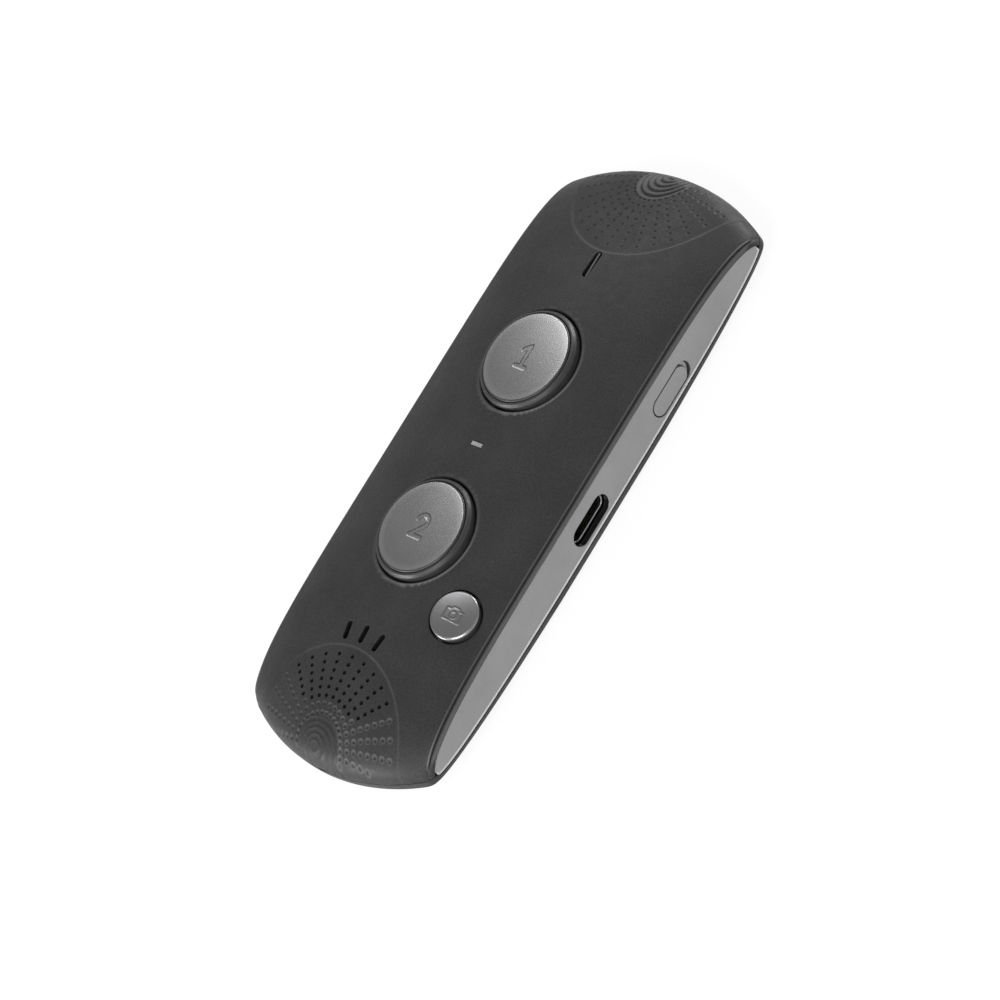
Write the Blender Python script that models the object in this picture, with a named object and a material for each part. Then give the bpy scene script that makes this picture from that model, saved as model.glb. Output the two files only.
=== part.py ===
"""Handheld voice translator: a slim two-shell body with silver side panels, two big talk
buttons, a camera button, a hinged SIM cover and a USB-C port.

The body lies on its back. X runs across it, Y along it towards the upper button, Z up
through the front face. The origin is under the middle of the flat back.
"""
import math

import bmesh
import bpy
from mathutils import Matrix, Vector

MM = 0.001

# Body outline in plan
BODY_WIDTH = 42.2 * MM
BODY_LENGTH = 110.8 * MM
END_RADIUS = 41.5 * MM
CORNER_RADIUS = 3.0 * MM
HALF_WIDTH = BODY_WIDTH / 2
HALF_LENGTH = BODY_LENGTH / 2

# Heights above the flat back
CROWN_HEIGHT = 14.15 * MM
CREASE_HEIGHT = 0.7385 * CROWN_HEIGHT
SEAM_HEIGHT = 0.357 * CROWN_HEIGHT
END_HEIGHT = 0.279 * CROWN_HEIGHT
BELLY_DEPTH = 0.25 * MM
CREASE_INSET = 0.7 * MM
CREASE_HALF_WIDTH = HALF_WIDTH - CREASE_INSET
REAR_EDGE_ROUNDING = 2.7 * MM
WALL = 0.099 * CROWN_HEIGHT
COVER_GAP = 0.2 * MM
SEAM_LAND = 0.03 * MM
SEAT_GAP = 0.15 * MM
OVERRUN = 2.0 * MM

# How full the crown and the belly are: powers of the curves, without units
CROWN_ACROSS_POWER = 2.2
CROWN_END_POWERS = (3.4, 2.85)
CREASE_END_POWERS = (5.5, 2.5)
BELLY_END_POWERS = (1.6, 2.6)
PANEL_TOP_POWERS = (5.0, 2.0)
PANEL_BOTTOM_POWERS = (3.0, 2.2)

# Silver side panels
PANEL_CORNER_REACH = 0.8 * MM
PANEL_TOP = 0.6714 * CROWN_HEIGHT
PANEL_BOTTOM = 0.1696 * CROWN_HEIGHT
PANEL_THICKNESS = 1.2 * MM
PANEL_TIP = 0.6 * MM
PANEL_INNER_X = HALF_WIDTH - PANEL_THICKNESS

# Talk buttons
BUTTON_Y = 0.285 * HALF_LENGTH
BUTTON_PROUD = 0.97 * MM
BUTTON_FACE_HEIGHT = CROWN_HEIGHT + BUTTON_PROUD
BUTTON_FACE_RADIUS = 8.0 * MM
BUTTON_FACE_THICKNESS = 1.0 * MM
BUTTON_FACE_DOME = 0.25 * MM
BUTTON_FACE_EDGE = 0.15 * MM
COLLAR_RADIUS = 8.85 * MM
COLLAR_LIP_DROP = 0.25 * MM
COLLAR_SLOPE_WIDTH = 0.4 * MM
COLLAR_SLOPE_HEIGHT = 0.55 * MM
COLLAR_FLOOR = 0.85 * MM
COLLAR_SKIRT_WALL = 0.8 * MM
COLLAR_FLANGE_RADIUS = 9.5 * MM
COLLAR_FLANGE_THICKNESS = 0.6 * MM
COLLAR_FLANGE_CLEARANCE = 0.3 * MM
COLLAR_STEM_RADIUS = 1.5 * MM
BUTTON_WELL_RADIUS = 9.15 * MM

# Camera button
CAMERA_BUTTON_FROM_SIDE = 7.2 * MM
CAMERA_BUTTON_X = HALF_WIDTH - CAMERA_BUTTON_FROM_SIDE
CAMERA_BUTTON_Y = -0.475 * HALF_LENGTH
CAMERA_BUTTON_RADIUS = 4.1 * MM
CAMERA_BUTTON_TILT_SHARE = 0.89
CAMERA_BUTTON_PROUD = 0.55 * MM
CAMERA_BUTTON_DOME = 0.3 * MM
CAMERA_BUTTON_EDGE = 0.35 * MM
CAMERA_FLANGE_RADIUS = 4.6 * MM
CAMERA_FLANGE_THICKNESS = 0.5 * MM
CAMERA_FLANGE_CLEARANCE = 0.45 * MM
CAMERA_STEM_RADIUS = 1.2 * MM
CAMERA_WELL_RADIUS = 4.4 * MM

# Circuit board and its switches
USB_SHELL_HEIGHT = 3.2 * MM
BOARD_UNDERSIDE = SEAM_HEIGHT + USB_SHELL_HEIGHT / 2 + SEAT_GAP
BOARD_THICKNESS = 0.07 * CROWN_HEIGHT
BOARD_TOP = BOARD_UNDERSIDE + BOARD_THICKNESS
BOARD_FROM_SIDE = 3.1 * MM
BOARD_HALF_WIDTH = HALF_WIDTH - BOARD_FROM_SIDE
BOARD_LOWER_END = -0.666 * HALF_LENGTH
BOARD_UPPER_END = 0.83 * HALF_LENGTH
BOARD_CORNER = 4.2 * MM
PART_ON_BOARD = BOARD_TOP + SEAT_GAP
SWITCH_SIZE = 4.4 * MM
SWITCH_HEIGHT = 0.07 * CROWN_HEIGHT
SWITCH_TOP = PART_ON_BOARD + SWITCH_HEIGHT
SWITCH_FLOOR = 0.25 * MM
PLUNGER_RADIUS = 1.1 * MM
PLUNGER_HEIGHT = 0.7 * MM
CAMERA_PLUNGER_HEIGHT = 0.5 * MM
PLUNGER_PROUD = 0.5 * MM
PLUNGER_GAP = 0.1 * MM
PLUNGER_CLEARANCE = 0.3 * MM

# Bosses and board screws
BOSS_FROM_BOARD_END = 2.3 * MM
LOWER_BOSS_FROM_SIDE = 4.3 * MM
UPPER_BOSS_FROM_SIDE = 7.1 * MM
UPPER_BOSS_FROM_BOARD_END = 4.5 * MM
BOSS_RADIUS = 1.9 * MM
BOSS_SKIN = 0.5 * MM
BOSS_PILOT_DEPTH = 2.0 * MM
SCREW_SHANK_RADIUS = 0.7 * MM
SCREW_CLEARANCE = 0.2 * MM
SCREW_ENTRY = 1.8 * MM
SCREW_HEAD_RADIUS = 1.5 * MM
SCREW_HEAD_HEIGHT = 0.65 * MM
SCREW_RECESS = 0.3 * MM
SCREW_RECESS_RADIUS = 0.65 * MM

# Speaker grille at the lower end, turned about a centre on the middle line
GRILLE_CENTRE = 0.96 * HALF_LENGTH
GRILLE_OUTER_ROW = 0.2635 * HALF_LENGTH
GRILLE_ROW_STEP = 0.0245 * HALF_LENGTH
GRILLE_HOLE_RADIUS = 0.35 * MM
GRILLE_SPOKE_ANGLE = math.radians(11.25)
GRILLE_SPOKES_EACH_SIDE = 4
GRILLE_ROWS = 6
SPEAKER_Y = -0.803 * HALF_LENGTH
SPEAKER_RADIUS = 0.13 * HALF_LENGTH
SPEAKER_BOTTOM = 0.27 * CROWN_HEIGHT
SPEAKER_HEIGHT = 0.25 * CROWN_HEIGHT
SPEAKER_DISH = 0.5 * MM
GASKET_WALL = 1.6 * MM

# Slots, light and microphones
SOUND_SLOT_ORBIT = 0.334 * HALF_LENGTH
SOUND_SLOT_LENGTH = 3.1 * MM
SOUND_SLOT_WIDTH = 0.95 * MM
UPPER_SLOT_Y = 0.62 * HALF_LENGTH
UPPER_SLOT_LENGTH = 4.9 * MM
UPPER_SLOT_WIDTH = 1.3 * MM
SLOT_BAR_WIDTH = 0.4 * MM
SLOT_BAR_RECESS = 0.05 * MM
SLOT_BAR_BASE_THICKNESS = 0.5 * MM
SLOT_BAR_BASE_MARGIN = 0.5 * MM
LIGHT_LENGTH = 2.3 * MM
LIGHT_WIDTH = 0.65 * MM
LIGHT_CLEARANCE = 0.12 * MM
LIGHT_FLANGE = 0.8 * MM
LIGHT_FLANGE_THICKNESS = 0.5 * MM
LED_LENGTH = 1.6 * MM
LED_WIDTH = 0.8 * MM
LED_HEIGHT = 0.6 * MM
MICROPHONE_LENGTH = 3.6 * MM
MICROPHONE_WIDTH = 2.8 * MM
MICROPHONE_HEIGHT = 1.0 * MM
MICROPHONE_PORT_RADIUS = 0.4 * MM
LOWER_MICROPHONE_Y = -0.6165 * HALF_LENGTH
BOOT_WALL = 0.6 * MM
UPPER_BOOT_LENGTH = 6.6 * MM
UPPER_BOOT_WIDTH = 5.2 * MM
LOWER_BOOT_LENGTH = 10.4 * MM
LOWER_BOOT_WIDTH = 0.1 * HALF_LENGTH
END_NOTCH_WIDTH = 1.8 * MM
END_NOTCH_HEIGHT = 0.35 * MM

# USB-C port in the right panel
PORT_Y = -0.0425 * HALF_LENGTH
PORT_LENGTH = 9.1 * MM
PORT_HEIGHT = 3.6 * MM
PORT_RECESS = 1.5 * MM
USB_SHELL_LENGTH = 8.94 * MM
USB_SHELL_DEPTH = 7.3 * MM
USB_SHELL_WALL = 0.32 * MM
USB_TONGUE_LENGTH = 6.7 * MM
USB_TONGUE_THICKNESS = 0.7 * MM
USB_TONGUE_RECESS = 0.7 * MM
USB_BASE_DEPTH = 1.2 * MM
USB_BASE_GAP = 0.15 * MM

# SIM cover, hinged at its lower end
SIM_OPENING_LENGTH = 10.0 * MM
SIM_OPENING_HEIGHT = 3.6 * MM
SIM_OPENING_LOWER_END = 0.306 * HALF_LENGTH
SIM_COVER_THICKNESS = 1.0 * MM
SIM_COVER_GAP = 0.2 * MM
SIM_HINGE_DEPTH = 0.5 * MM
SIM_PIN_RADIUS = 0.22 * MM
SIM_PIN_CLEARANCE = 0.1 * MM
SIM_PIN_REACH = (SEAM_HEIGHT - SIM_OPENING_HEIGHT / 2 - PANEL_BOTTOM) / 2
SCOOP_LENGTH = 1.55 * MM
SCOOP_DEPTH = 0.5 * MM
SIM_READER_FROM_SIDE = 2.55 * MM
SIM_READER_MOUTH = HALF_WIDTH - SIM_READER_FROM_SIDE
SIM_READER_DEPTH = 11.0 * MM
SIM_READER_WIDTH = 10.6 * MM
SIM_READER_HEIGHT = 1.4 * MM
SIM_SLOT_WIDTH = 9.0 * MM
SIM_SLOT_HEIGHT = 0.8 * MM
SIM_SLOT_DEPTH = 9.6 * MM

# Battery
BATTERY_FROM_LEFT = 3.5 * MM
BATTERY_FROM_RIGHT = 14.7 * MM
BATTERY_WIDTH = BODY_WIDTH - BATTERY_FROM_LEFT - BATTERY_FROM_RIGHT
BATTERY_LENGTH = 1.03 * HALF_LENGTH
BATTERY_THICKNESS = 0.28 * CROWN_HEIGHT
BATTERY_X = (BATTERY_FROM_LEFT - BATTERY_FROM_RIGHT) / 2
BATTERY_Y = 1.0 * MM
BATTERY_ROUNDING = 0.9 * MM
PAD_MARGIN = 4.0 * MM
PAD_WIDTH = BATTERY_WIDTH - PAD_MARGIN
PAD_LENGTH = BATTERY_LENGTH / 2
PAD_THICKNESS = 0.4 * MM
BATTERY_BOTTOM = WALL + COVER_GAP + PAD_THICKNESS + SEAT_GAP

# Shield can over the processor
SHIELD_FROM_SIDE = 5.0 * MM
SHIELD_FROM_MIDDLE = 3.1 * MM
SHIELD_WIDTH = HALF_WIDTH - SHIELD_FROM_SIDE - SHIELD_FROM_MIDDLE
SHIELD_X = -SHIELD_FROM_MIDDLE - SHIELD_WIDTH / 2
SHIELD_Y = 1.5 * MM
SHIELD_LENGTH = 16.0 * MM
SHIELD_HEIGHT = 0.113 * CROWN_HEIGHT
SHIELD_ROUNDING = 0.3 * MM

# Rear camera
REAR_CAMERA_Y = 0.722 * HALF_LENGTH
BEZEL_PROUD = 0.2 * MM
BEZEL_HEIGHT = 2.1 * MM
BEZEL_RADIUS = 4.5 * MM
BEZEL_CLEARANCE = 0.2 * MM
BEZEL_EDGE = 0.2 * MM
WINDOW_RADIUS = 3.2 * MM
WINDOW_THICKNESS = 0.8 * MM
WINDOW_RECESS = 0.2 * MM
WINDOW_GAP = 0.15 * MM
BEZEL_LEDGE_RADIUS = 2.6 * MM
CAMERA_BARREL_RADIUS = 2.3 * MM
CAMERA_BODY_SIZE = 8.5 * MM

# Facets
ROUND_SIDES = 40
SMALL_SIDES = 20
CAMERA_BUTTON_SIDES = 32
HOLE_SIDES = 6
SMOOTH_ANGLE = math.radians(32.0)

# Columns of the cover meshes, as shares of the half width, and rows from middle to end
CREASE_SHARE = CREASE_HALF_WIDTH / HALF_WIDTH
FRONT_COLUMN_SHARES = (0.0, 0.17, 0.34, 0.50, 0.64, 0.76, 0.86, 0.93, CREASE_SHARE, 1.0)
REAR_COLUMN_SHARES = (0.0, 0.30, 0.60, 0.80, 0.875, 0.92, 0.955, 0.985, 1.0)
COVER_ROWS = 13
LAST_ROW_SHARE = 0.9965

# Colours as linear red, green and blue
GRAPHITE = (0.045, 0.045, 0.048)
SATIN_SILVER = (0.26, 0.26, 0.265)
BUTTON_SILVER = (0.30, 0.30, 0.305)
GLOSS_BLACK = (0.012, 0.012, 0.013)
LIGHT_GREY = (0.32, 0.32, 0.32)
BOARD_GREEN = (0.02, 0.11, 0.05)
BRIGHT_METAL = (0.62, 0.62, 0.60)
CELL_BLUE = (0.05, 0.09, 0.16)
RUBBER_BLACK = (0.02, 0.02, 0.02)
CERAMIC_WHITE = (0.75, 0.75, 0.72)
GLASS_DARK = (0.01, 0.012, 0.016)


def clear_scene():
    for old in list(bpy.data.objects):
        bpy.data.objects.remove(old, do_unlink=True)


def make_material(name, colour, roughness, metallic):
    material = bpy.data.materials.new(name)
    material.use_nodes = True
    shader = material.node_tree.nodes["Principled BSDF"]
    shader.inputs["Base Color"].default_value = (*colour, 1.0)
    shader.inputs["Roughness"].default_value = roughness
    shader.inputs["Metallic"].default_value = metallic
    material.diffuse_color = (*colour, 1.0)
    return material


def add_object(name, mesh, material):
    piece = bpy.data.objects.new(name, mesh)
    bpy.context.collection.objects.link(piece)
    if material is not None:
        mesh.materials.append(material)
    return piece


def finish_mesh(name, shape, smooth=True):
    """Turns a bmesh into a mesh with outward faces."""
    bmesh.ops.recalc_face_normals(shape, faces=shape.faces)
    mesh = bpy.data.meshes.new(name)
    shape.to_mesh(mesh)
    shape.free()
    if smooth:
        mesh.shade_smooth()
        mesh.set_sharp_from_angle(angle=SMOOTH_ANGLE)
    return mesh


def bridge(shape, ring_a, ring_b):
    """Joins two closed rings of equal length with quads."""
    count = len(ring_a)
    for index in range(count):
        following = (index + 1) % count
        shape.faces.new((ring_a[index], ring_a[following], ring_b[following], ring_b[index]))


def stack(name, rings, material, smooth=True):
    """A closed solid through rings of points, with a flat face on each end ring."""
    shape = bmesh.new()
    loops = [[shape.verts.new(point) for point in ring] for ring in rings]
    for lower, upper in zip(loops, loops[1:]):
        bridge(shape, lower, upper)
    shape.faces.new(loops[0])
    shape.faces.new(loops[-1])
    return add_object(name, finish_mesh(name, shape, smooth), material)


def tube(name, rings, material, smooth=True):
    """A closed solid through rings of points whose last ring joins its first."""
    shape = bmesh.new()
    loops = [[shape.verts.new(point) for point in ring] for ring in rings]
    for lower, upper in zip(loops, loops[1:] + loops[:1]):
        bridge(shape, lower, upper)
    return add_object(name, finish_mesh(name, shape, smooth), material)


def circle(radius, height, sides):
    turn = 2 * math.pi / sides
    return [Vector((radius * math.cos(turn * step), radius * math.sin(turn * step), height))
            for step in range(sides)]


def turned(name, profile, material, sides=ROUND_SIDES):
    """A solid turned about Z from (radius, height) points that start and end off the axis."""
    return stack(name, [circle(radius, height, sides) for radius, height in profile], material)


def turned_ring(name, profile, material, sides=ROUND_SIDES):
    """A ring turned about Z from a closed loop of (radius, height) points."""
    return tube(name, [circle(radius, height, sides) for radius, height in profile], material)


def rectangle(half_x, half_y, height):
    return [Vector((-half_x, -half_y, height)), Vector((half_x, -half_y, height)),
            Vector((half_x, half_y, height)), Vector((-half_x, half_y, height))]


def stepped_block(name, levels, material):
    """A block whose (half_x, half_y, height) section changes from level to level."""
    return stack(name, [rectangle(*level) for level in levels], material, smooth=False)


def block(name, size_x, size_y, bottom, top, material):
    levels = [(size_x / 2, size_y / 2, bottom), (size_x / 2, size_y / 2, top)]
    return stepped_block(name, levels, material)


def round_edges(piece, width, segments=2):
    modifier = piece.modifiers.new("rounding", "BEVEL")
    modifier.width = width
    modifier.segments = segments
    modifier.limit_method = "ANGLE"


def obround(length, height, sides):
    """Points of a slot outline, with its length along the first axis."""
    radius = height / 2
    reach = length / 2 - radius
    half = sides // 2
    points = []
    for step in range(half + 1):
        angle = -math.pi / 2 + math.pi * step / half
        points.append((reach + radius * math.cos(angle), radius * math.sin(angle)))
    for step in range(half + 1):
        angle = math.pi / 2 + math.pi * step / half
        points.append((-reach + radius * math.cos(angle), radius * math.sin(angle)))
    return points


def side_ring(points, depth):
    """Slot points laid in the plane X = depth, along Y and Z."""
    return [Vector((depth, along, up)) for along, up in points]


def flat_ring(points, height):
    """Slot points laid in a level plane, with the length along Y."""
    return [Vector((-up, along, height)) for along, up in points]


def make_cutter(piece):
    piece.hide_render = True
    piece.display_type = "WIRE"
    return piece


def combine(piece, tool, operation="DIFFERENCE"):
    make_cutter(tool)
    modifier = piece.modifiers.new(tool.name, "BOOLEAN")
    modifier.object = tool
    modifier.operation = operation
    modifier.solver = "EXACT"
    return piece


def join_cutters(name, tools):
    """Makes one cutter of several that don't meet."""
    shape = bmesh.new()
    for tool in tools:
        start = len(shape.verts)
        shape.from_mesh(tool.data)
        shape.verts.ensure_lookup_table()
        for vertex in shape.verts[start:]:
            vertex.co = tool.matrix_basis @ vertex.co
        bpy.data.objects.remove(tool, do_unlink=True)
    mesh = bpy.data.meshes.new(name)
    shape.to_mesh(mesh)
    shape.free()
    return make_cutter(add_object(name, mesh, None))


def end_reach(x, inset=0.0):
    """How far the body's outline, or one inset from it, reaches along Y at x."""
    half_width = HALF_WIDTH - inset
    end_radius = END_RADIUS - inset
    corner = CORNER_RADIUS - inset
    end_centre = HALF_LENGTH - END_RADIUS
    corner_x = half_width - corner
    corner_y = end_centre + math.sqrt((end_radius - corner) ** 2 - corner_x ** 2)
    tangent_x = end_radius * corner_x / (end_radius - corner)
    across = min(abs(x), half_width)
    if across < tangent_x:
        return end_centre + math.sqrt(end_radius ** 2 - across ** 2)
    return corner_y + math.sqrt(max(corner ** 2 - (across - corner_x) ** 2, 0.0))


def side_x(y):
    """Half width of the outline at y, which only the corners narrow."""
    corner_x = HALF_WIDTH - CORNER_RADIUS
    straight = end_reach(HALF_WIDTH)
    over = max(abs(y) - straight, 0.0)
    return corner_x + math.sqrt(max(CORNER_RADIUS ** 2 - over ** 2, 0.0))


def fall(share, powers):
    """Runs from one in the middle to nothing at the end of a curve."""
    first, second = powers
    return (1 - min(abs(share), 1.0) ** first) ** (1 / second)


def crown(x, along_share, thickness=0.0):
    """Height of the front surface at x, a share of the way from the middle to the end."""
    across_share = min(abs(x) / CREASE_HALF_WIDTH, 1.0)
    rise = (CROWN_HEIGHT - CREASE_HEIGHT) * (1 - across_share ** CROWN_ACROSS_POWER)
    blend = across_share ** 2
    powers = [middle + (side - middle) * blend
              for middle, side in zip(CROWN_END_POWERS, CREASE_END_POWERS)]
    top = CREASE_HEIGHT + rise - thickness
    return END_HEIGHT + (top - END_HEIGHT) * fall(along_share, powers)


def crown_at(x, y):
    """Height of the front cover's outer skin."""
    return crown(x, y / end_reach(x))


def crown_inside(x, y):
    """Height of the front cover's inner skin."""
    return crown(x, y / end_reach(x, WALL), WALL)


def belly(along_share, thickness=0.0):
    """Height of the middle of the back, a share of the way from the middle to the end."""
    depth = END_HEIGHT + BELLY_DEPTH - thickness
    height = END_HEIGHT - depth * fall(along_share, BELLY_END_POWERS)
    return max(height, thickness)


def panel_reach():
    """How far the side panels reach along Y, a little way into the corners."""
    return end_reach(HALF_WIDTH) + PANEL_CORNER_REACH


def panel_top(y):
    return SEAM_HEIGHT + (PANEL_TOP - SEAM_HEIGHT) * fall(y / panel_reach(), PANEL_TOP_POWERS)


def panel_bottom(y):
    rise = fall(y / panel_reach(), PANEL_BOTTOM_POWERS)
    return SEAM_HEIGHT - (SEAM_HEIGHT - PANEL_BOTTOM) * rise


def front_edge(y):
    return panel_top(y) + COVER_GAP / 2


def rear_edge(y):
    return panel_bottom(y) - COVER_GAP / 2


def mirror_shares(shares):
    return [-share for share in reversed(shares[1:])] + list(shares)


def row_shares():
    half = [math.sin(math.pi / 2 * row / COVER_ROWS) for row in range(COVER_ROWS)]
    return mirror_shares(half + [LAST_ROW_SHARE, 1.0])


def front_point(column_share, row_share, inset):
    """A point of the front cover's outer skin, or of its inner one where inset is a wall."""
    x = column_share * (HALF_WIDTH - inset)
    y = row_share * end_reach(x, inset)
    if abs(column_share) == 1.0 or abs(row_share) == 1.0:
        outer_x = column_share * HALF_WIDTH
        return Vector((x, y, front_edge(row_share * end_reach(outer_x))))
    lowest = SEAM_HEIGHT + COVER_GAP / 2 + SEAM_LAND
    return Vector((x, y, max(crown(x, row_share, inset), lowest)))


def rear_point(column_share, row_share, inset):
    """A point of the rear cover's outer skin, or of its inner one where inset is a wall."""
    x = column_share * (HALF_WIDTH - inset)
    y = row_share * end_reach(x, inset)
    outer_x = column_share * HALF_WIDTH
    edge = rear_edge(row_share * end_reach(outer_x))
    if abs(column_share) == 1.0 or abs(row_share) == 1.0:
        return Vector((x, y, edge))
    edge = rear_edge(row_share * end_reach(HALF_WIDTH))
    base = belly(row_share, inset)
    inward_share = min((HALF_WIDTH - inset - abs(x)) / REAR_EDGE_ROUNDING, 1.0)
    climb = 1 - math.sqrt(1 - (1 - inward_share) ** 2)
    return Vector((x, y, base + (edge - base) * climb))


def cover(name, point, column_shares, material):
    """A shell of two skins that meet in a rim, from a function that gives its points."""
    columns = mirror_shares(column_shares)
    rows = row_shares()
    last_column = len(columns) - 1
    last_row = len(rows) - 1
    shape = bmesh.new()
    skins = []
    for inset in (0.0, WALL):
        skins.append([[shape.verts.new(point(column, row, inset)) for column in columns]
                      for row in rows])
    for skin in skins:
        for row in range(last_row):
            for column in range(last_column):
                shape.faces.new((skin[row][column], skin[row][column + 1],
                                 skin[row + 1][column + 1], skin[row + 1][column]))
    loops = []
    for skin in skins:
        loop = skin[0][:-1] + [skin[row][last_column] for row in range(last_row)]
        loop += list(reversed(skin[last_row][1:]))
        loop += [skin[row][0] for row in range(last_row, 0, -1)]
        loops.append(loop)
    bridge(shape, loops[0], loops[1])
    return add_object(name, finish_mesh(name, shape), material)


def upright_cutter(name, radius, x, y, bottom, top, sides=ROUND_SIDES):
    tool = turned(name, [(radius, bottom), (radius, top)], None, sides)
    tool.location = (x, y, 0.0)
    return tool


def slot_cutter(name, length, width, x, y, angle, bottom, top):
    points = obround(length, width, SMALL_SIDES // 2)
    tool = stack(name, [flat_ring(points, bottom), flat_ring(points, top)], None, smooth=False)
    tool.matrix_basis = Matrix.Translation((x, y, 0.0)) @ Matrix.Rotation(angle, 4, "Z")
    return tool


def boss_places():
    lower = (HALF_WIDTH - LOWER_BOSS_FROM_SIDE, BOARD_LOWER_END + BOSS_FROM_BOARD_END)
    upper = (HALF_WIDTH - UPPER_BOSS_FROM_SIDE, BOARD_UPPER_END - UPPER_BOSS_FROM_BOARD_END)
    return [(side * x, y) for x, y in (lower, upper) for side in (-1, 1)]


def camera_button_tilt():
    """The camera button leans towards the side, a little less than the surface around it does."""
    inner = crown_at(CAMERA_BUTTON_X - CAMERA_BUTTON_RADIUS, CAMERA_BUTTON_Y)
    outer = crown_at(CAMERA_BUTTON_X + CAMERA_BUTTON_RADIUS, CAMERA_BUTTON_Y)
    return CAMERA_BUTTON_TILT_SHARE * math.atan2(inner - outer, 2 * CAMERA_BUTTON_RADIUS)


def camera_button_frame():
    """Places the camera button's own Z along its axis, with zero on the cover's surface."""
    height = crown_at(CAMERA_BUTTON_X, CAMERA_BUTTON_Y)
    place = Matrix.Translation((CAMERA_BUTTON_X, CAMERA_BUTTON_Y, height))
    return place @ Matrix.Rotation(camera_button_tilt(), 4, "Y")


def grille_cutters():
    cutters = []
    for spoke in range(-GRILLE_SPOKES_EACH_SIDE, GRILLE_SPOKES_EACH_SIDE + 1):
        rows = GRILLE_ROWS - 1 if abs(spoke) == GRILLE_SPOKES_EACH_SIDE else GRILLE_ROWS
        angle = spoke * GRILLE_SPOKE_ANGLE
        for row in range(rows):
            radius = GRILLE_OUTER_ROW - row * GRILLE_ROW_STEP
            x = radius * math.sin(angle)
            y = radius * math.cos(angle) - GRILLE_CENTRE
            top = crown_at(x, y)
            cutters.append(upright_cutter("grille_hole", GRILLE_HOLE_RADIUS, x, y,
                                          top - WALL - OVERRUN, top + OVERRUN, HOLE_SIDES))
    return cutters


def sound_slot_cutters():
    cutters = []
    for step in (-1, 0, 1):
        angle = step * GRILLE_SPOKE_ANGLE
        x = SOUND_SLOT_ORBIT * math.sin(angle)
        y = SOUND_SLOT_ORBIT * math.cos(angle) - GRILLE_CENTRE
        cutters.append(slot_cutter("sound_slot", SOUND_SLOT_LENGTH, SOUND_SLOT_WIDTH, x, y, -angle,
                                   CREASE_HEIGHT - OVERRUN, CROWN_HEIGHT + OVERRUN))
    return cutters


def build_front_cover(material):
    piece = cover("front_cover", front_point, FRONT_COLUMN_SHARES, material)
    bosses = []
    for x, y in boss_places():
        top = crown_at(abs(x) + BOSS_RADIUS, abs(y) + BOSS_RADIUS) - BOSS_SKIN
        bosses.append(upright_cutter("boss", BOSS_RADIUS, x, y, PART_ON_BOARD, top, SMALL_SIDES))
    combine(piece, join_cutters("front_cover_bosses", bosses), "UNION")
    low = CREASE_HEIGHT - OVERRUN
    high = CROWN_HEIGHT + OVERRUN
    tools = [upright_cutter("well", BUTTON_WELL_RADIUS, 0.0, side * BUTTON_Y, low, high)
             for side in (-1, 1)]
    well = turned("camera_well", [(CAMERA_WELL_RADIUS, -WALL - OVERRUN), (CAMERA_WELL_RADIUS, OVERRUN)],
                  None, SMALL_SIDES)
    well.matrix_basis = camera_button_frame()
    tools.append(well)
    tools += sound_slot_cutters()
    tools.append(slot_cutter("upper_slot", UPPER_SLOT_LENGTH, UPPER_SLOT_WIDTH, 0.0, UPPER_SLOT_Y, 0.0,
                             low, high))
    tools.append(block("light_hole", LIGHT_LENGTH + 2 * LIGHT_CLEARANCE,
                       LIGHT_WIDTH + 2 * LIGHT_CLEARANCE, low, high, None))
    combine(piece, join_cutters("front_cover_holes", tools))
    pilots = [upright_cutter("pilot", SCREW_SHANK_RADIUS + SCREW_CLEARANCE, x, y,
                             PART_ON_BOARD - OVERRUN, PART_ON_BOARD + BOSS_PILOT_DEPTH, SMALL_SIDES)
              for x, y in boss_places()]
    combine(piece, join_cutters("front_cover_pilots", pilots))
    combine(piece, join_cutters("front_cover_grille", grille_cutters()))
    notch = block("front_cover_notch", END_NOTCH_WIDTH, 2 * WALL + 2 * OVERRUN,
                  SEAM_HEIGHT - OVERRUN, front_edge(HALF_LENGTH) + END_NOTCH_HEIGHT, None)
    notch.location = (0.0, -HALF_LENGTH, 0.0)
    combine(piece, notch)
    return piece


def build_rear_cover(material):
    piece = cover("rear_cover", rear_point, REAR_COLUMN_SHARES, material)
    hole = upright_cutter("rear_cover_camera_hole", BEZEL_RADIUS + BEZEL_CLEARANCE, 0.0, REAR_CAMERA_Y,
                          -OVERRUN, SEAM_HEIGHT, SMALL_SIDES)
    combine(piece, hole)
    return piece


def build_side_panel(name, side, material):
    """A lens-shaped strip that lies flush in the side, between the two covers."""
    stations = 15
    rings = []
    for step in range(-stations, stations + 1):
        share = math.sin(math.pi / 2 * step / stations)
        y = share * (panel_reach() - PANEL_TIP / 2)
        outer = side_x(y)
        inner = outer - PANEL_THICKNESS
        low = panel_bottom(y) + COVER_GAP / 2
        high = panel_top(y) - COVER_GAP / 2
        rings.append([Vector((side * outer, y, low)), Vector((side * outer, y, high)),
                      Vector((side * inner, y, high)), Vector((side * inner, y, low))])
    return stack(name, rings, material)


def side_cutter(name, length, height, y, near, far):
    points = obround(length, height, SMALL_SIDES)
    tool = stack(name, [side_ring(points, near), side_ring(points, far)], None, smooth=False)
    tool.location = (0.0, y, SEAM_HEIGHT)
    return tool


def sim_hinge():
    """The hinge axis: X, Y and Z of its middle."""
    end_radius = SIM_OPENING_HEIGHT / 2
    return Vector((HALF_WIDTH - SIM_HINGE_DEPTH, SIM_OPENING_LOWER_END + end_radius, SEAM_HEIGHT))


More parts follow.
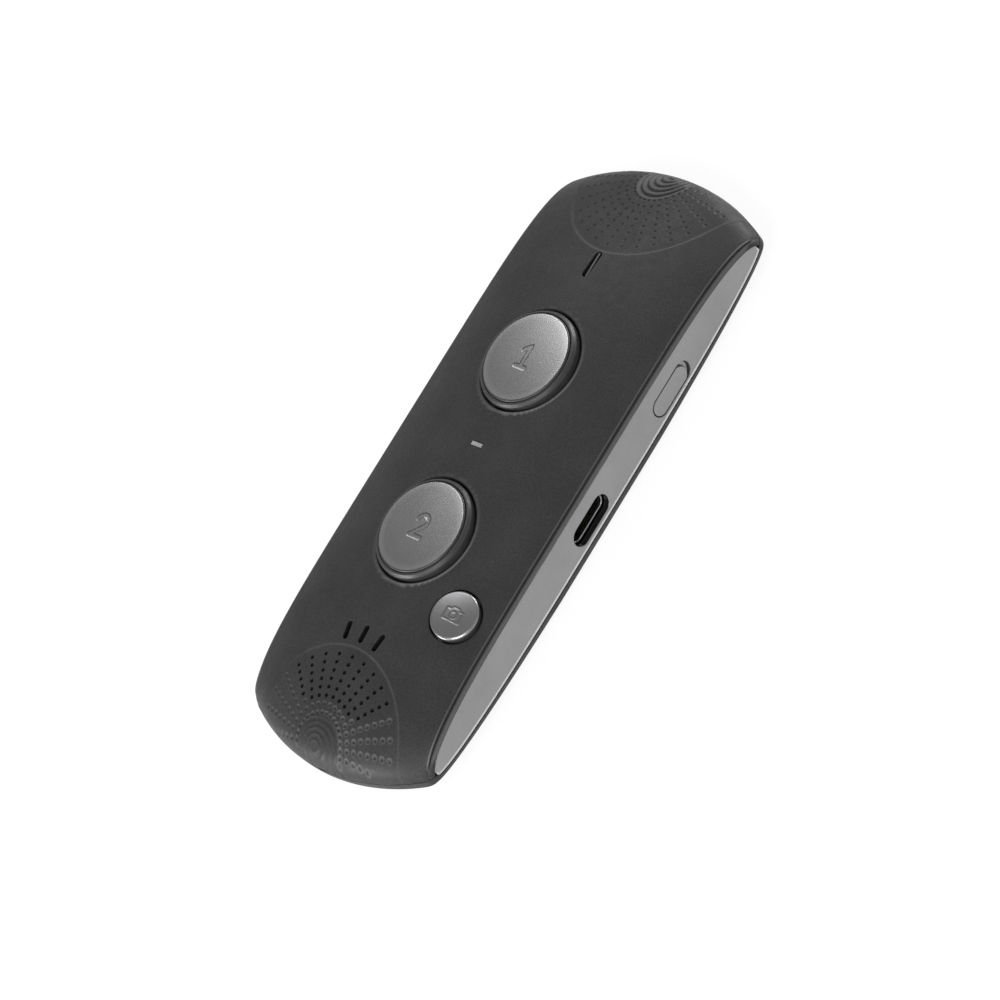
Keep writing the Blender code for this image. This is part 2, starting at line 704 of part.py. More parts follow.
def build_right_panel(material):
    piece = build_side_panel("side_panel_right", 1, material)
    near = PANEL_INNER_X - OVERRUN
    far = HALF_WIDTH + OVERRUN
    combine(piece, side_cutter("port_opening", PORT_LENGTH, PORT_HEIGHT, PORT_Y, near, far))
    sim_y = SIM_OPENING_LOWER_END + SIM_OPENING_LENGTH / 2
    combine(piece, side_cutter("sim_opening", SIM_OPENING_LENGTH, SIM_OPENING_HEIGHT, sim_y, near, far))
    hinge = sim_hinge()
    reach = SIM_OPENING_HEIGHT / 2 + SIM_PIN_REACH + SIM_PIN_CLEARANCE
    radius = SIM_PIN_RADIUS + SIM_PIN_CLEARANCE
    pocket = turned("sim_pin_pocket", [(radius, -reach), (radius, reach)], None, SMALL_SIDES)
    pocket.location = hinge
    combine(piece, pocket)
    return piece


def build_sim_cover(material):
    hinge = sim_hinge()
    length = SIM_OPENING_LENGTH - 2 * SIM_COVER_GAP
    height = SIM_OPENING_HEIGHT - 2 * SIM_COVER_GAP
    points = obround(length, height, SMALL_SIDES)
    centre_y = SIM_OPENING_LOWER_END + SIM_OPENING_LENGTH / 2 - hinge.y
    outer = HALF_WIDTH - hinge.x
    rings = [[Vector((depth, centre_y + along, up)) for along, up in points]
             for depth in (outer - SIM_COVER_THICKNESS, outer)]
    piece = stack("sim_cover", rings, material)
    piece.location = hinge
    radius = SIM_PIN_RADIUS + SIM_PIN_CLEARANCE
    bore = turned("sim_cover_bore", [(radius, -height), (radius, height)], None, SMALL_SIDES)
    bore.location = hinge
    combine(piece, bore)
    end_y = centre_y + length / 2
    profile = [(outer + SCOOP_DEPTH, end_y - 2 * SCOOP_LENGTH), (outer + SCOOP_DEPTH, end_y + SCOOP_LENGTH),
               (outer - 2 * SCOOP_DEPTH, end_y + SCOOP_LENGTH)]
    rings = [[Vector((x, y, level)) for x, y in profile] for level in (-height, height)]
    scoop = stack("sim_cover_scoop", rings, None, smooth=False)
    scoop.location = hinge
    combine(piece, scoop)
    return piece


def build_sim_pin(material):
    reach = SIM_OPENING_HEIGHT / 2 + SIM_PIN_REACH
    piece = turned("sim_cover_pin", [(SIM_PIN_RADIUS, -reach), (SIM_PIN_RADIUS, reach)], material,
                   SMALL_SIDES // 2)
    piece.location = sim_hinge()
    return piece


def build_sim_reader(material):
    top = BOARD_UNDERSIDE - SEAT_GAP
    bottom = top - SIM_READER_HEIGHT
    y = SIM_OPENING_LOWER_END + SIM_OPENING_LENGTH / 2
    centre_x = SIM_READER_MOUTH - SIM_READER_DEPTH / 2
    piece = block("sim_reader", SIM_READER_DEPTH, SIM_READER_WIDTH, bottom, top, material)
    piece.location = (centre_x, y, 0.0)
    middle = (bottom + top) / 2
    slot = block("sim_reader_slot", 2 * SIM_SLOT_DEPTH, SIM_SLOT_WIDTH, middle - SIM_SLOT_HEIGHT / 2,
                 middle + SIM_SLOT_HEIGHT / 2, None)
    slot.location = (SIM_READER_MOUTH, y, 0.0)
    combine(piece, slot)
    return piece


def build_talk_button(prefix, y, face_material, collar_material):
    radius = BUTTON_FACE_RADIUS
    edge = BUTTON_FACE_EDGE
    dome = BUTTON_FACE_DOME
    bottom = -BUTTON_FACE_THICKNESS
    dome_shares = (0.15, 0.5, 0.8)
    profile = [(radius, bottom), (radius, -edge), (radius - edge, 0.0)]
    profile += [(radius * share, dome * (1 - share ** 2)) for share in reversed(dome_shares)]
    face = turned(prefix + "_button_face", profile, face_material)
    face.location = (0.0, y, BUTTON_FACE_HEIGHT)
    pocket = radius + SEAT_GAP
    floor_top = bottom - SEAT_GAP
    floor_bottom = floor_top - COLLAR_FLOOR
    cover_inside = crown_inside(COLLAR_FLANGE_RADIUS, BUTTON_Y)
    flange_top = cover_inside - COLLAR_FLANGE_CLEARANCE - BUTTON_FACE_HEIGHT
    flange_bottom = flange_top - COLLAR_FLANGE_THICKNESS
    skirt = COLLAR_RADIUS - COLLAR_SKIRT_WALL
    stem_bottom = SWITCH_TOP + PLUNGER_PROUD + PLUNGER_GAP - BUTTON_FACE_HEIGHT
    profile = [(COLLAR_STEM_RADIUS, floor_top), (pocket, floor_top), (pocket, -COLLAR_LIP_DROP),
               (COLLAR_RADIUS - COLLAR_SLOPE_WIDTH, -COLLAR_LIP_DROP),
               (COLLAR_RADIUS, -COLLAR_LIP_DROP - COLLAR_SLOPE_HEIGHT), (COLLAR_RADIUS, flange_top),
               (COLLAR_FLANGE_RADIUS, flange_top), (COLLAR_FLANGE_RADIUS, flange_bottom),
               (skirt, flange_bottom), (skirt, floor_bottom), (COLLAR_STEM_RADIUS, floor_bottom),
               (COLLAR_STEM_RADIUS, stem_bottom)]
    collar = turned(prefix + "_button_collar", profile, collar_material)
    collar.location = (0.0, y, BUTTON_FACE_HEIGHT)
    return face, collar


def build_switch(prefix, x, y, bore_radius, material):
    piece = block(prefix + "_switch", SWITCH_SIZE, SWITCH_SIZE, PART_ON_BOARD, SWITCH_TOP, material)
    piece.location = (x, y, 0.0)
    bore = upright_cutter(prefix + "_switch_bore", bore_radius, x, y, PART_ON_BOARD + SWITCH_FLOOR,
                          SWITCH_TOP + OVERRUN, SMALL_SIDES)
    combine(piece, bore)
    return piece


def build_plunger(prefix, frame, top, height, material):
    """A switch plunger whose top lies at a height in the frame of its button."""
    profile = [(PLUNGER_RADIUS, top - height), (PLUNGER_RADIUS, top)]
    piece = turned(prefix + "_plunger", profile, material, SMALL_SIDES)
    piece.matrix_basis = frame
    return piece


def build_camera_button(material):
    frame = camera_button_frame()
    top = CAMERA_BUTTON_PROUD
    radius = CAMERA_BUTTON_RADIUS
    edge = CAMERA_BUTTON_EDGE
    flange_top = -WALL - CAMERA_FLANGE_CLEARANCE
    flange_bottom = flange_top - CAMERA_FLANGE_THICKNESS
    dome_shares = (0.2, 0.6)
    profile = [(radius * share, top + CAMERA_BUTTON_DOME * (1 - share ** 2)) for share in dome_shares]
    profile += [(radius - edge, top), (radius - edge / 4, top - edge / 2), (radius, top - edge),
                (radius, flange_top), (CAMERA_FLANGE_RADIUS, flange_top),
                (CAMERA_FLANGE_RADIUS, flange_bottom), (CAMERA_STEM_RADIUS, flange_bottom),
                (CAMERA_STEM_RADIUS, camera_stem_bottom())]
    piece = turned("camera_button", profile, material, CAMERA_BUTTON_SIDES)
    piece.matrix_basis = frame
    return piece


def camera_stem_bottom():
    """Where the camera button's stem ends, measured along its axis from the cover's surface."""
    height = crown_at(CAMERA_BUTTON_X, CAMERA_BUTTON_Y)
    return -(height - SWITCH_TOP - PLUNGER_PROUD - PLUNGER_GAP) / math.cos(camera_button_tilt())


def camera_switch_x():
    drop = crown_at(CAMERA_BUTTON_X, CAMERA_BUTTON_Y) - SWITCH_TOP
    return CAMERA_BUTTON_X - drop * math.tan(camera_button_tilt())


def build_board(material):
    shoulder = BOARD_UPPER_END - BOARD_CORNER
    end_half_width = BOARD_HALF_WIDTH - BOARD_CORNER
    outline = [(-BOARD_HALF_WIDTH, BOARD_LOWER_END), (BOARD_HALF_WIDTH, BOARD_LOWER_END),
               (BOARD_HALF_WIDTH, shoulder), (end_half_width, BOARD_UPPER_END),
               (-end_half_width, BOARD_UPPER_END), (-BOARD_HALF_WIDTH, shoulder)]
    rings = [[Vector((x, y, level)) for x, y in outline] for level in (BOARD_UNDERSIDE, BOARD_TOP)]
    piece = stack("circuit_board", rings, material, smooth=False)
    holes = [upright_cutter("board_hole", SCREW_SHANK_RADIUS + SCREW_CLEARANCE, x, y,
                            BOARD_UNDERSIDE - OVERRUN, BOARD_TOP + OVERRUN, SMALL_SIDES)
             for x, y in boss_places()]
    combine(piece, join_cutters("board_holes", holes))
    return piece


def build_board_screws(material):
    head_top = BOARD_UNDERSIDE - SEAT_GAP
    head_bottom = head_top - SCREW_HEAD_HEIGHT
    for number, (x, y) in enumerate(boss_places(), 1):
        profile = [(SCREW_RECESS_RADIUS, head_bottom + SCREW_RECESS), (SCREW_RECESS_RADIUS, head_bottom),
                   (SCREW_HEAD_RADIUS, head_bottom), (SCREW_HEAD_RADIUS, head_top),
                   (SCREW_SHANK_RADIUS, head_top), (SCREW_SHANK_RADIUS, PART_ON_BOARD + SCREW_ENTRY)]
        screw = turned(f"board_screw_{number}", profile, material, SMALL_SIDES)
        screw.location = (x, y, 0.0)


def build_boot(name, width, length, y, top, material):
    """A rubber tube of rectangular section between a microphone and its slot."""
    outer = (width / 2, length / 2)
    inner = (width / 2 - BOOT_WALL, length / 2 - BOOT_WALL)
    rings = [rectangle(*outer, PART_ON_BOARD), rectangle(*outer, top), rectangle(*inner, top),
             rectangle(*inner, PART_ON_BOARD)]
    piece = tube(name, rings, material, smooth=False)
    piece.location = (0.0, y, 0.0)
    return piece


def build_microphone(name, y, material):
    top = PART_ON_BOARD + MICROPHONE_HEIGHT
    piece = block(name, MICROPHONE_LENGTH, MICROPHONE_WIDTH, PART_ON_BOARD, top, material)
    piece.location = (0.0, y, 0.0)
    port = upright_cutter(name + "_port", MICROPHONE_PORT_RADIUS, 0.0, y,
                          top - MICROPHONE_PORT_RADIUS, top + OVERRUN, SMALL_SIDES // 2)
    combine(piece, port)
    return piece


def slot_bar_base():
    """Half sizes of the base under the upper slot, and the height of its top."""
    half_x = UPPER_SLOT_WIDTH / 2 + SLOT_BAR_BASE_MARGIN
    half_y = UPPER_SLOT_LENGTH / 2 + SLOT_BAR_BASE_MARGIN
    return half_x, half_y, crown_inside(half_x, UPPER_SLOT_Y + half_y) - SEAT_GAP


def build_slot_bar(material):
    half_x, half_y, base_top = slot_bar_base()
    bar_x = SLOT_BAR_WIDTH / 2
    bar_y = UPPER_SLOT_LENGTH / 2 - SEAT_GAP
    top = crown_at(bar_x, UPPER_SLOT_Y + bar_y) - SLOT_BAR_RECESS
    levels = [(half_x, half_y, base_top - SLOT_BAR_BASE_THICKNESS), (half_x, half_y, base_top),
              (bar_x, bar_y, base_top), (bar_x, bar_y, top)]
    piece = stepped_block("upper_slot_bar", levels, material)
    piece.location = (0.0, UPPER_SLOT_Y, 0.0)
    return piece


def build_light_pipe(material):
    half_x = LIGHT_LENGTH / 2
    half_y = LIGHT_WIDTH / 2
    flange_top = crown_inside(half_x + LIGHT_FLANGE, half_y + LIGHT_FLANGE) - SEAT_GAP
    flange_bottom = flange_top - LIGHT_FLANGE_THICKNESS
    bottom = PART_ON_BOARD + LED_HEIGHT + SEAT_GAP
    levels = [(half_x, half_y, bottom), (half_x, half_y, flange_bottom),
              (half_x + LIGHT_FLANGE, half_y + LIGHT_FLANGE, flange_bottom),
              (half_x + LIGHT_FLANGE, half_y + LIGHT_FLANGE, flange_top),
              (half_x, half_y, flange_top), (half_x, half_y, crown_at(half_x, half_y))]
    return stepped_block("status_light_window", levels, material)


def build_speaker(material):
    top = SPEAKER_BOTTOM + SPEAKER_HEIGHT
    surround_share = 0.75
    cone_share = 0.35
    profile = [(SPEAKER_RADIUS, SPEAKER_BOTTOM), (SPEAKER_RADIUS, top),
               (SPEAKER_RADIUS * surround_share, top), (SPEAKER_RADIUS * cone_share, top - SPEAKER_DISH)]
    piece = turned("speaker", profile, material)
    piece.location = (0.0, SPEAKER_Y, 0.0)
    return piece


def build_speaker_gasket(material):
    """A foam ring whose top follows the inside of the front cover."""
    bottom = SPEAKER_BOTTOM + SPEAKER_HEIGHT + SEAT_GAP
    outer = circle(SPEAKER_RADIUS, bottom, ROUND_SIDES)
    inner = circle(SPEAKER_RADIUS - GASKET_WALL, bottom, ROUND_SIDES)

    def under_cover(ring):
        raised = []
        for point in ring:
            inside = crown_inside(point.x, point.y + SPEAKER_Y)
            raised.append(Vector((point.x, point.y, inside - COVER_GAP)))
        return raised

    piece = tube("speaker_gasket", [outer, under_cover(outer), under_cover(inner), inner], material)
    piece.location = (0.0, SPEAKER_Y, 0.0)
    return piece


def build_usb(shell_material, tongue_material):
    mouth = HALF_WIDTH - PORT_RECESS
    back = mouth - USB_SHELL_DEPTH
    outer = obround(USB_SHELL_LENGTH, USB_SHELL_HEIGHT, SMALL_SIDES)
    inner_length = USB_SHELL_LENGTH - 2 * USB_SHELL_WALL
    inner_height = USB_SHELL_HEIGHT - 2 * USB_SHELL_WALL
    inner = obround(inner_length, inner_height, SMALL_SIDES)
    shell = tube("usb_c_shell", [side_ring(outer, back), side_ring(outer, mouth), side_ring(inner, mouth),
                                 side_ring(inner, back)], shell_material)
    shell.location = (0.0, PORT_Y, SEAM_HEIGHT)
    base_half = Vector((USB_TONGUE_LENGTH / 2, inner_height / 2 - USB_BASE_GAP, 0.0))
    tongue_half = Vector((USB_TONGUE_LENGTH / 2, USB_TONGUE_THICKNESS / 2, 0.0))
    start = back + USB_BASE_GAP
    rings = []
    for depth, half in ((start, base_half), (start + USB_BASE_DEPTH, base_half),
                        (start + USB_BASE_DEPTH, tongue_half), (mouth - USB_TONGUE_RECESS, tongue_half)):
        rings.append([Vector((depth, -half.x, -half.y)), Vector((depth, half.x, -half.y)),
                      Vector((depth, half.x, half.y)), Vector((depth, -half.x, half.y))])
    tongue = stack("usb_c_tongue", rings, tongue_material, smooth=False)
    tongue.location = (0.0, PORT_Y, SEAM_HEIGHT)
    return shell, tongue


def build_battery(cell_material, pad_material):
    cell = block("battery", BATTERY_WIDTH, BATTERY_LENGTH, BATTERY_BOTTOM,
                 BATTERY_BOTTOM + BATTERY_THICKNESS, cell_material)
    cell.location = (BATTERY_X, BATTERY_Y, 0.0)
    round_edges(cell, BATTERY_ROUNDING)
    pad_top = BATTERY_BOTTOM - SEAT_GAP
    pad = block("battery_pad", PAD_WIDTH, PAD_LENGTH, pad_top - PAD_THICKNESS, pad_top, pad_material)
    pad.location = (BATTERY_X, BATTERY_Y, 0.0)
    return cell, pad


def build_shield(material):
    piece = block("shield_can", SHIELD_WIDTH, SHIELD_LENGTH, PART_ON_BOARD, PART_ON_BOARD + SHIELD_HEIGHT,
                  material)
    piece.location = (SHIELD_X, SHIELD_Y, 0.0)
    round_edges(piece, SHIELD_ROUNDING, 1)
    return piece


def build_led(material):
    return block("status_led", LED_LENGTH, LED_WIDTH, PART_ON_BOARD, PART_ON_BOARD + LED_HEIGHT, material)


def rear_camera_frame():
    """Places the bezel's own zero on the back's surface and tilts it to lie along the surface."""
    ends = [belly((REAR_CAMERA_Y + side * BEZEL_RADIUS) / HALF_LENGTH) for side in (-1, 1)]
    tilt = math.atan2(ends[1] - ends[0], 2 * BEZEL_RADIUS)
    middle = Matrix.Translation((0.0, REAR_CAMERA_Y, sum(ends) / 2))
    return middle @ Matrix.Rotation(tilt, 4, "X")


def build_rear_camera(module_material, bezel_material, glass_material):
    top = BEZEL_HEIGHT - BEZEL_PROUD
    window_bottom = WINDOW_RECESS - BEZEL_PROUD
    window_top = window_bottom + WINDOW_THICKNESS
    ledge = window_top + WINDOW_GAP
    seat = WINDOW_RADIUS + WINDOW_GAP
    profile = [(seat, -BEZEL_PROUD), (BEZEL_RADIUS - BEZEL_EDGE, -BEZEL_PROUD),
               (BEZEL_RADIUS, BEZEL_EDGE - BEZEL_PROUD), (BEZEL_RADIUS, top), (BEZEL_LEDGE_RADIUS, top),
               (BEZEL_LEDGE_RADIUS, ledge), (seat, ledge)]
    bezel = turned_ring("camera_bezel", profile, bezel_material, ROUND_SIDES)
    window = turned("camera_window", [(WINDOW_RADIUS, window_bottom), (WINDOW_RADIUS, window_top)],
                    glass_material)
    frame = rear_camera_frame()
    surface = frame.translation.z
    rise = BEZEL_RADIUS * math.tan(frame.to_euler().x)
    body_bottom = surface + top + rise + SEAT_GAP
    body_top = BOARD_UNDERSIDE - SEAT_GAP
    barrel_bottom = surface + ledge + rise / 2 + SEAT_GAP
    body = block("camera_module", CAMERA_BODY_SIZE, CAMERA_BODY_SIZE, body_bottom, body_top, module_material)
    barrel = turned("camera_module_barrel",
                    [(CAMERA_BARREL_RADIUS, barrel_bottom),
                     (CAMERA_BARREL_RADIUS, (body_bottom + body_top) / 2)], None, SMALL_SIDES)
    for piece in (bezel, window):
        piece.matrix_basis = frame
    for piece in (body, barrel):
        piece.location = (0.0, REAR_CAMERA_Y, 0.0)
    combine(body, barrel, "UNION")


def build_all():
    graphite = make_material("graphite_soft_touch", GRAPHITE, 0.55, 0.0)
    silver = make_material("satin_silver", SATIN_SILVER, 0.38, 0.55)
    button_silver = make_material("button_silver", BUTTON_SILVER, 0.32, 0.6)
    gloss_black = make_material("gloss_black", GLOSS_BLACK, 0.18, 0.0)
    light_grey = make_material("light_pipe", LIGHT_GREY, 0.35, 0.0)
    board_green = make_material("board_green", BOARD_GREEN, 0.45, 0.0)
    metal = make_material("bright_metal", BRIGHT_METAL, 0.3, 1.0)
    cell = make_material("cell_wrap", CELL_BLUE, 0.4, 0.0)
    rubber = make_material("black_rubber", RUBBER_BLACK, 0.8, 0.0)
    ceramic = make_material("white_ceramic", CERAMIC_WHITE, 0.5, 0.0)
    glass = make_material("camera_glass", GLASS_DARK, 0.05, 0.0)

    build_front_cover(graphite)
    build_rear_cover(graphite)
    build_right_panel(silver)
    build_side_panel("side_panel_left", -1, silver)
    for prefix, y in (("upper", BUTTON_Y), ("lower", -BUTTON_Y)):
        build_talk_button(prefix, y, button_silver, gloss_black)
        build_switch(prefix, 0.0, y, PLUNGER_RADIUS + PLUNGER_CLEARANCE, metal)
        frame = Matrix.Translation((0.0, y, 0.0))
        build_plunger(prefix, frame, SWITCH_TOP + PLUNGER_PROUD, PLUNGER_HEIGHT, rubber)
    build_camera_button(button_silver)
    build_switch("camera", camera_switch_x(), CAMERA_BUTTON_Y, PLUNGER_RADIUS + 2 * PLUNGER_CLEARANCE, metal)
    build_plunger("camera", camera_button_frame(), camera_stem_bottom() - PLUNGER_GAP,
                  CAMERA_PLUNGER_HEIGHT, rubber)
    build_light_pipe(light_grey)
    build_led(ceramic)
    build_slot_bar(light_grey)
    build_microphone("upper_microphone", UPPER_SLOT_Y, metal)
    base_bottom = slot_bar_base()[2] - SLOT_BAR_BASE_THICKNESS
    build_boot("upper_microphone_boot", UPPER_BOOT_WIDTH, UPPER_BOOT_LENGTH, UPPER_SLOT_Y,
               base_bottom - SEAT_GAP, rubber)
    build_microphone("lower_microphone", LOWER_MICROPHONE_Y, metal)
    cover_inside = crown_inside(LOWER_BOOT_LENGTH / 2, LOWER_MICROPHONE_Y - LOWER_BOOT_WIDTH / 2)
    build_boot("lower_microphone_boot", LOWER_BOOT_LENGTH, LOWER_BOOT_WIDTH, LOWER_MICROPHONE_Y,
               cover_inside - SEAT_GAP, rubber)
    build_speaker(gloss_black)
    build_speaker_gasket(rubber)
    build_board(board_green)
    build_board_screws(metal)
    build_battery(cell, rubber)
    build_shield(metal)
    build_usb(metal, gloss_black)
    build_sim_cover(silver)
    build_sim_pin(metal)
    build_sim_reader(metal)
    build_rear_camera(gloss_black, gloss_black, glass)


clear_scene()
build_all()
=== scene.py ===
"""Looks of the handheld voice translator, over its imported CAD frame."""
import math

import bmesh
import bpy
import numpy as np
from mathutils import Matrix, Vector


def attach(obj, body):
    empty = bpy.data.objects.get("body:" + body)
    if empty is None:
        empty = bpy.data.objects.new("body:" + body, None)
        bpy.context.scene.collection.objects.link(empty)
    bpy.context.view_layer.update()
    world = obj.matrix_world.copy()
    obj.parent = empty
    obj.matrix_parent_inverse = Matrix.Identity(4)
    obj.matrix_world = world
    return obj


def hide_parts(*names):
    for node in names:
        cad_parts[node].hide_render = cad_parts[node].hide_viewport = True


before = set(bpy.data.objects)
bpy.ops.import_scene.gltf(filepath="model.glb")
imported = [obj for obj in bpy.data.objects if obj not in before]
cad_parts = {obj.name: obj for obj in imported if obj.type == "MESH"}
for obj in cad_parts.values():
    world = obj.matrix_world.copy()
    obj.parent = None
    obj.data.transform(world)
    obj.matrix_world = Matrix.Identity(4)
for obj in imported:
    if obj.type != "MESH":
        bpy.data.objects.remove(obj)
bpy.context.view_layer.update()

# Lengths are in millimetres, and meshes are scaled to metres as they are made
MM = 0.001
SHARP_ANGLE = 30.0
CORNERS = ((-1, -1), (1, -1), (1, 1), (-1, 1))
COLLAR_SHARP = 35.0

# Sizes of the body, the same as the part's own
HALF_X = 21.1
HALF_Y = 55.4
END_R = 41.5
CORNER_R = 3.0
END_CENTRE = HALF_Y - END_R
CROWN_Z = 14.15
CREASE_Z = 0.7385 * CROWN_Z
SEAM_Z = 0.357 * CROWN_Z
END_Z = 0.279 * CROWN_Z
BELLY_DEPTH = 0.25
CREASE_X = HALF_X - 0.7
REAR_ROUNDING = 2.7
WALL = 0.099 * CROWN_Z
GAP = 0.2
LAND = 0.03
RIM_GAP = 0.03
SEAT_GAP = 0.15

# How full the crown and the belly are: powers of the curves, without units
ACROSS_POWER = 2.2
CROWN_END_POWERS = (3.4, 2.85)
CREASE_POWERS = (2.1, -0.35)
BELLY_END_POWERS = (1.6, 2.6)
PANEL_TOP_POWERS = (5.0, 2.0)
PANEL_BOTTOM_POWERS = (3.0, 2.2)
HUMP_POWER = 1.5

# Side panels, each with a bead along its lower edge that carries a painted highlight
PANEL_TOP_Z = 0.6714 * CROWN_Z
PANEL_BOTTOM_Z = 0.1696 * CROWN_Z
CORNER_REACH = 0.8
PANEL_DEPTH = 1.2
PANEL_TIP = 0.6
PANEL_BEAD = 0.13
PANEL_FACE_X = HALF_X - PANEL_BEAD
STATIONS = 110
FULL_HEIGHT = 2.0
PANEL_EDGE = 0.14
UPPER_ROW = 0.3
PANEL_FOOT = 0.32
FOOT_ROWS = (0.12, 0.02, 0.0)
BEAD_PROFILE = ((0.01, 0.6), (0.0, 0.5), (0.0, 0.3), (0.08, 0.08), (0.16, 0.0))
BEAD_HIGHLIGHT_RISE = 0.325
BEAD_HIGHLIGHT_DEPTH = 0.18

# Circuit board and switches, which the buttons and bosses reach down to
USB_LENGTH = 8.94
USB_HEIGHT = 3.2
BOARD_THICKNESS = 0.07 * CROWN_Z
SWITCH_HEIGHT = 0.07 * CROWN_Z
BOARD_TOP = SEAM_Z + USB_HEIGHT / 2 + SEAT_GAP + BOARD_THICKNESS + SEAT_GAP
SWITCH_TOP = BOARD_TOP + SWITCH_HEIGHT
PLUNGER_ROOM = 0.6

# Bosses in the front cover, with a hole for each screw: (radius, below, above)
BOSS_R = 1.9
BOSS_SKIN = 0.5
BOSS_SIDES = 24
PILOT = (0.9, 1.5, 2.0)
LOWER_BOSS = (HALF_X - 4.3, -0.666 * HALF_Y + 2.3)
UPPER_BOSS = (HALF_X - 7.1, 0.83 * HALF_Y - 4.5)
BOSS_PLACES = [(side * x, y) for x, y in (LOWER_BOSS, UPPER_BOSS) for side in (-1, 1)]

# Talk buttons; a flange is (radius, thickness, clearance)
BUTTON_Y = 0.285 * HALF_Y
FACE_Z = CROWN_Z + 0.97
FACE_R = 8.0
FACE_THICKNESS = 1.0
FACE_EDGE = 0.26
FACE_DOME = 0.24
FACE_SIDES = 240
FACE_RING_STEP = 0.09
FACE_RIM = 0.24
FACE_HIGHLIGHT = (0.3, 1.6, 0.3)
WALL_DEPTH = 2.0
COLLAR_R = 8.85
SLOPE_WIDTH = 0.40
LIP_DROP = 0.25
SLOPE_FOOT = 0.80
COLLAR_GAP = 0.15
COLLAR_FLOOR = 0.85
SKIRT_R = 7.8
COLLAR_FLANGE = (9.5, 0.6, 0.3)
STEM_R = 1.5
COLLAR_SIDES = 160
COLLAR_ROUNDS = ((4, 0.16), (3, 0.10), (2, 0.06))
WELL_R = 9.15
WELL_LIP = 0.42
WELL_SIDES = 160

# Signs, debossed into the buttons, with painted shade along the edges of their strokes
SIGN_DEPTH = 0.05
SIGN_EDGE = 0.05
CENTRE_RING = 0.12
TALK_STROKE = 0.36
TALK_LINE = 0.11
CAMERA_STROKE = 0.16
CAMERA_LINE = 0.10
LINE_SHADE = 0.55

# Camera button
CAMERA_X = HALF_X - 7.2
CAMERA_Y = -0.475 * HALF_Y
CAMERA_R = 4.1
TILT_SHARE = 0.89
CAMERA_PROUD = 0.55
CAMERA_DOME = 0.3
CAMERA_EDGE = 0.35
CAMERA_STEM_R = 1.2
CAMERA_FLANGE = (4.6, 0.5, 0.45)
CAMERA_SIDES = 128
CAMERA_RING_STEP = 0.07
CAMERA_HIGHLIGHT = (0.2, 0.2, 0.25)
CAMERA_WELL_R = 4.4
CAMERA_WELL_LIP = 0.28
CAMERA_WELL_SIDES = 96

# Grilles, which lie round a centre near each end
GRILLE_Y = 0.96 * HALF_Y
GRILLE_OUTER = 0.2635 * HALF_Y
GRILLE_STEP = 0.0245 * HALF_Y
SPOKE = math.radians(11.25)
HOLE_R = 0.35
HOLE_SIDES = 14
HOLE_OVERRUN = 1.8
DOT_ROWS = 7
DOT_SPOKES = 9
DRILL_ROWS = 6
DRILL_SPOKES = 4
DOT_MARGIN = 0.75
DOT_HALF_WIDTH = 18.6
NO_DOT = 9.0
RECESS_R = 16.0

# Slots, status light (half length, half width, corner) and the notch in the lower end
SOUND_ORBIT = 0.334 * HALF_Y
SOUND_SLOT = (3.1, 0.95)
SLOT_Y = 0.62 * HALF_Y
UPPER_SLOT = (4.9, 1.3)
SLOT_LIP = 0.08
SLOT_SIDES = 28
CUTTER_OVERRUN = 1.5
WELL_OVERRUN = 2.0
CUTTER_TOP = 1.2
LIGHT_HOLE = (2.3 / 2 + 0.12, 0.65 / 2 + 0.12, 0.12)
NOTCH_HALF = (0.9, 3.0)
NOTCH_LEVELS = (SEAM_Z - 2.0, SEAM_Z + GAP / 2 + 0.35)

# Side openings and the SIM cover, whose profiles are (depth, spread) and (depth, radius)
PORT_Y = -0.0425 * HALF_Y
PORT_OPENING = (9.1, 3.6)
PORT_EDGE = 0.10
PORT_WALLS = (4.7, 1.9)
SIM_Y = 0.306 * HALF_Y
SIM_LENGTH = 10.0
SIM_HEIGHT = 3.6
SIM_EDGE = 0.05
SIM_MIDDLE = SIM_Y + SIM_LENGTH / 2
SIM_COVER_PROFILE = ((-1.0, -0.06), (-0.94, 0.0), (-0.09, 0.0), (-0.04, -0.02), (-0.01, -0.06), (0.0, -0.12))
OPENING_SIDES = 56
OPENING_TOP = 1.0
SCOOP_PROFILE = ((-0.55, 1.95), (0.3, 1.55), (0.3, 5.0), (-0.55, 5.0))
SCOOP_SIDES = 64
SCOOP_FROM_END = 0.95
SCOOP_LENGTH = 1.75
HINGE_X = HALF_X - 0.5
HINGE_Y = SIM_Y + SIM_HEIGHT / 2
PIN_HOLE_R = 0.32
PIN_HOLE_SIDES = 20
PIN_OVERRUN = 0.1

# Port
PORT_RECESS = 1.5
USB_DEPTH = 7.3
USB_WALL = 0.32
USB_CHAMFER = 0.08
USB_SIDES = 48
CONTACTS = 10
CONTACT_PITCH = 0.5
CONTACT_DEPTHS = (3.4, 1.1)
CONTACT = ((0.12, 0.34), (0.10, 0.37))

# Rear camera, whose profile is (radius, height) above the back; a hole is (radius, low, high, sides)
REAR_CAMERA_Y = 0.722 * HALF_Y
BEZEL_R = 4.5
BEZEL_SIDES = 128
BEZEL_HOLE = (BEZEL_R + 0.2, -2.0, SEAM_Z, 96)
BEZEL_PROFILE = (
    (3.35, -0.2), (BEZEL_R - 0.2, -0.2), (BEZEL_R, 0.0), (BEZEL_R, 1.9), (2.6, 1.9), (2.6, 0.95),
    (3.35, 0.95))
BEZEL_ROUNDS = ((2, 0.12), (1, 0.12), (0, 0.10))

# Bar in the upper slot, whose profile is (length, width, depth below its top)
BAR_BASE_HALF = (0.65 + 0.5, 2.45 + 0.5)
BASE_THICKNESS = 0.5
BAR_LENGTH = 4.6
BAR_WIDTH = 0.40
BAR_RECESS = 0.05
BAR_EDGE = ((4.6, 0.40, 0.09), (4.57, 0.37, 0.03), (4.50, 0.30, 0.0))
# Depths below the bar's top over which the painted shade on its flanks fades out
BAR_SHADE = (0.085, 0.04)

# Widths of the soft edges on plain pieces
SOFT_EDGES = (("status_light_window", 0.10), ("shield_can", 0.12), ("usb_c_tongue", 0.08))


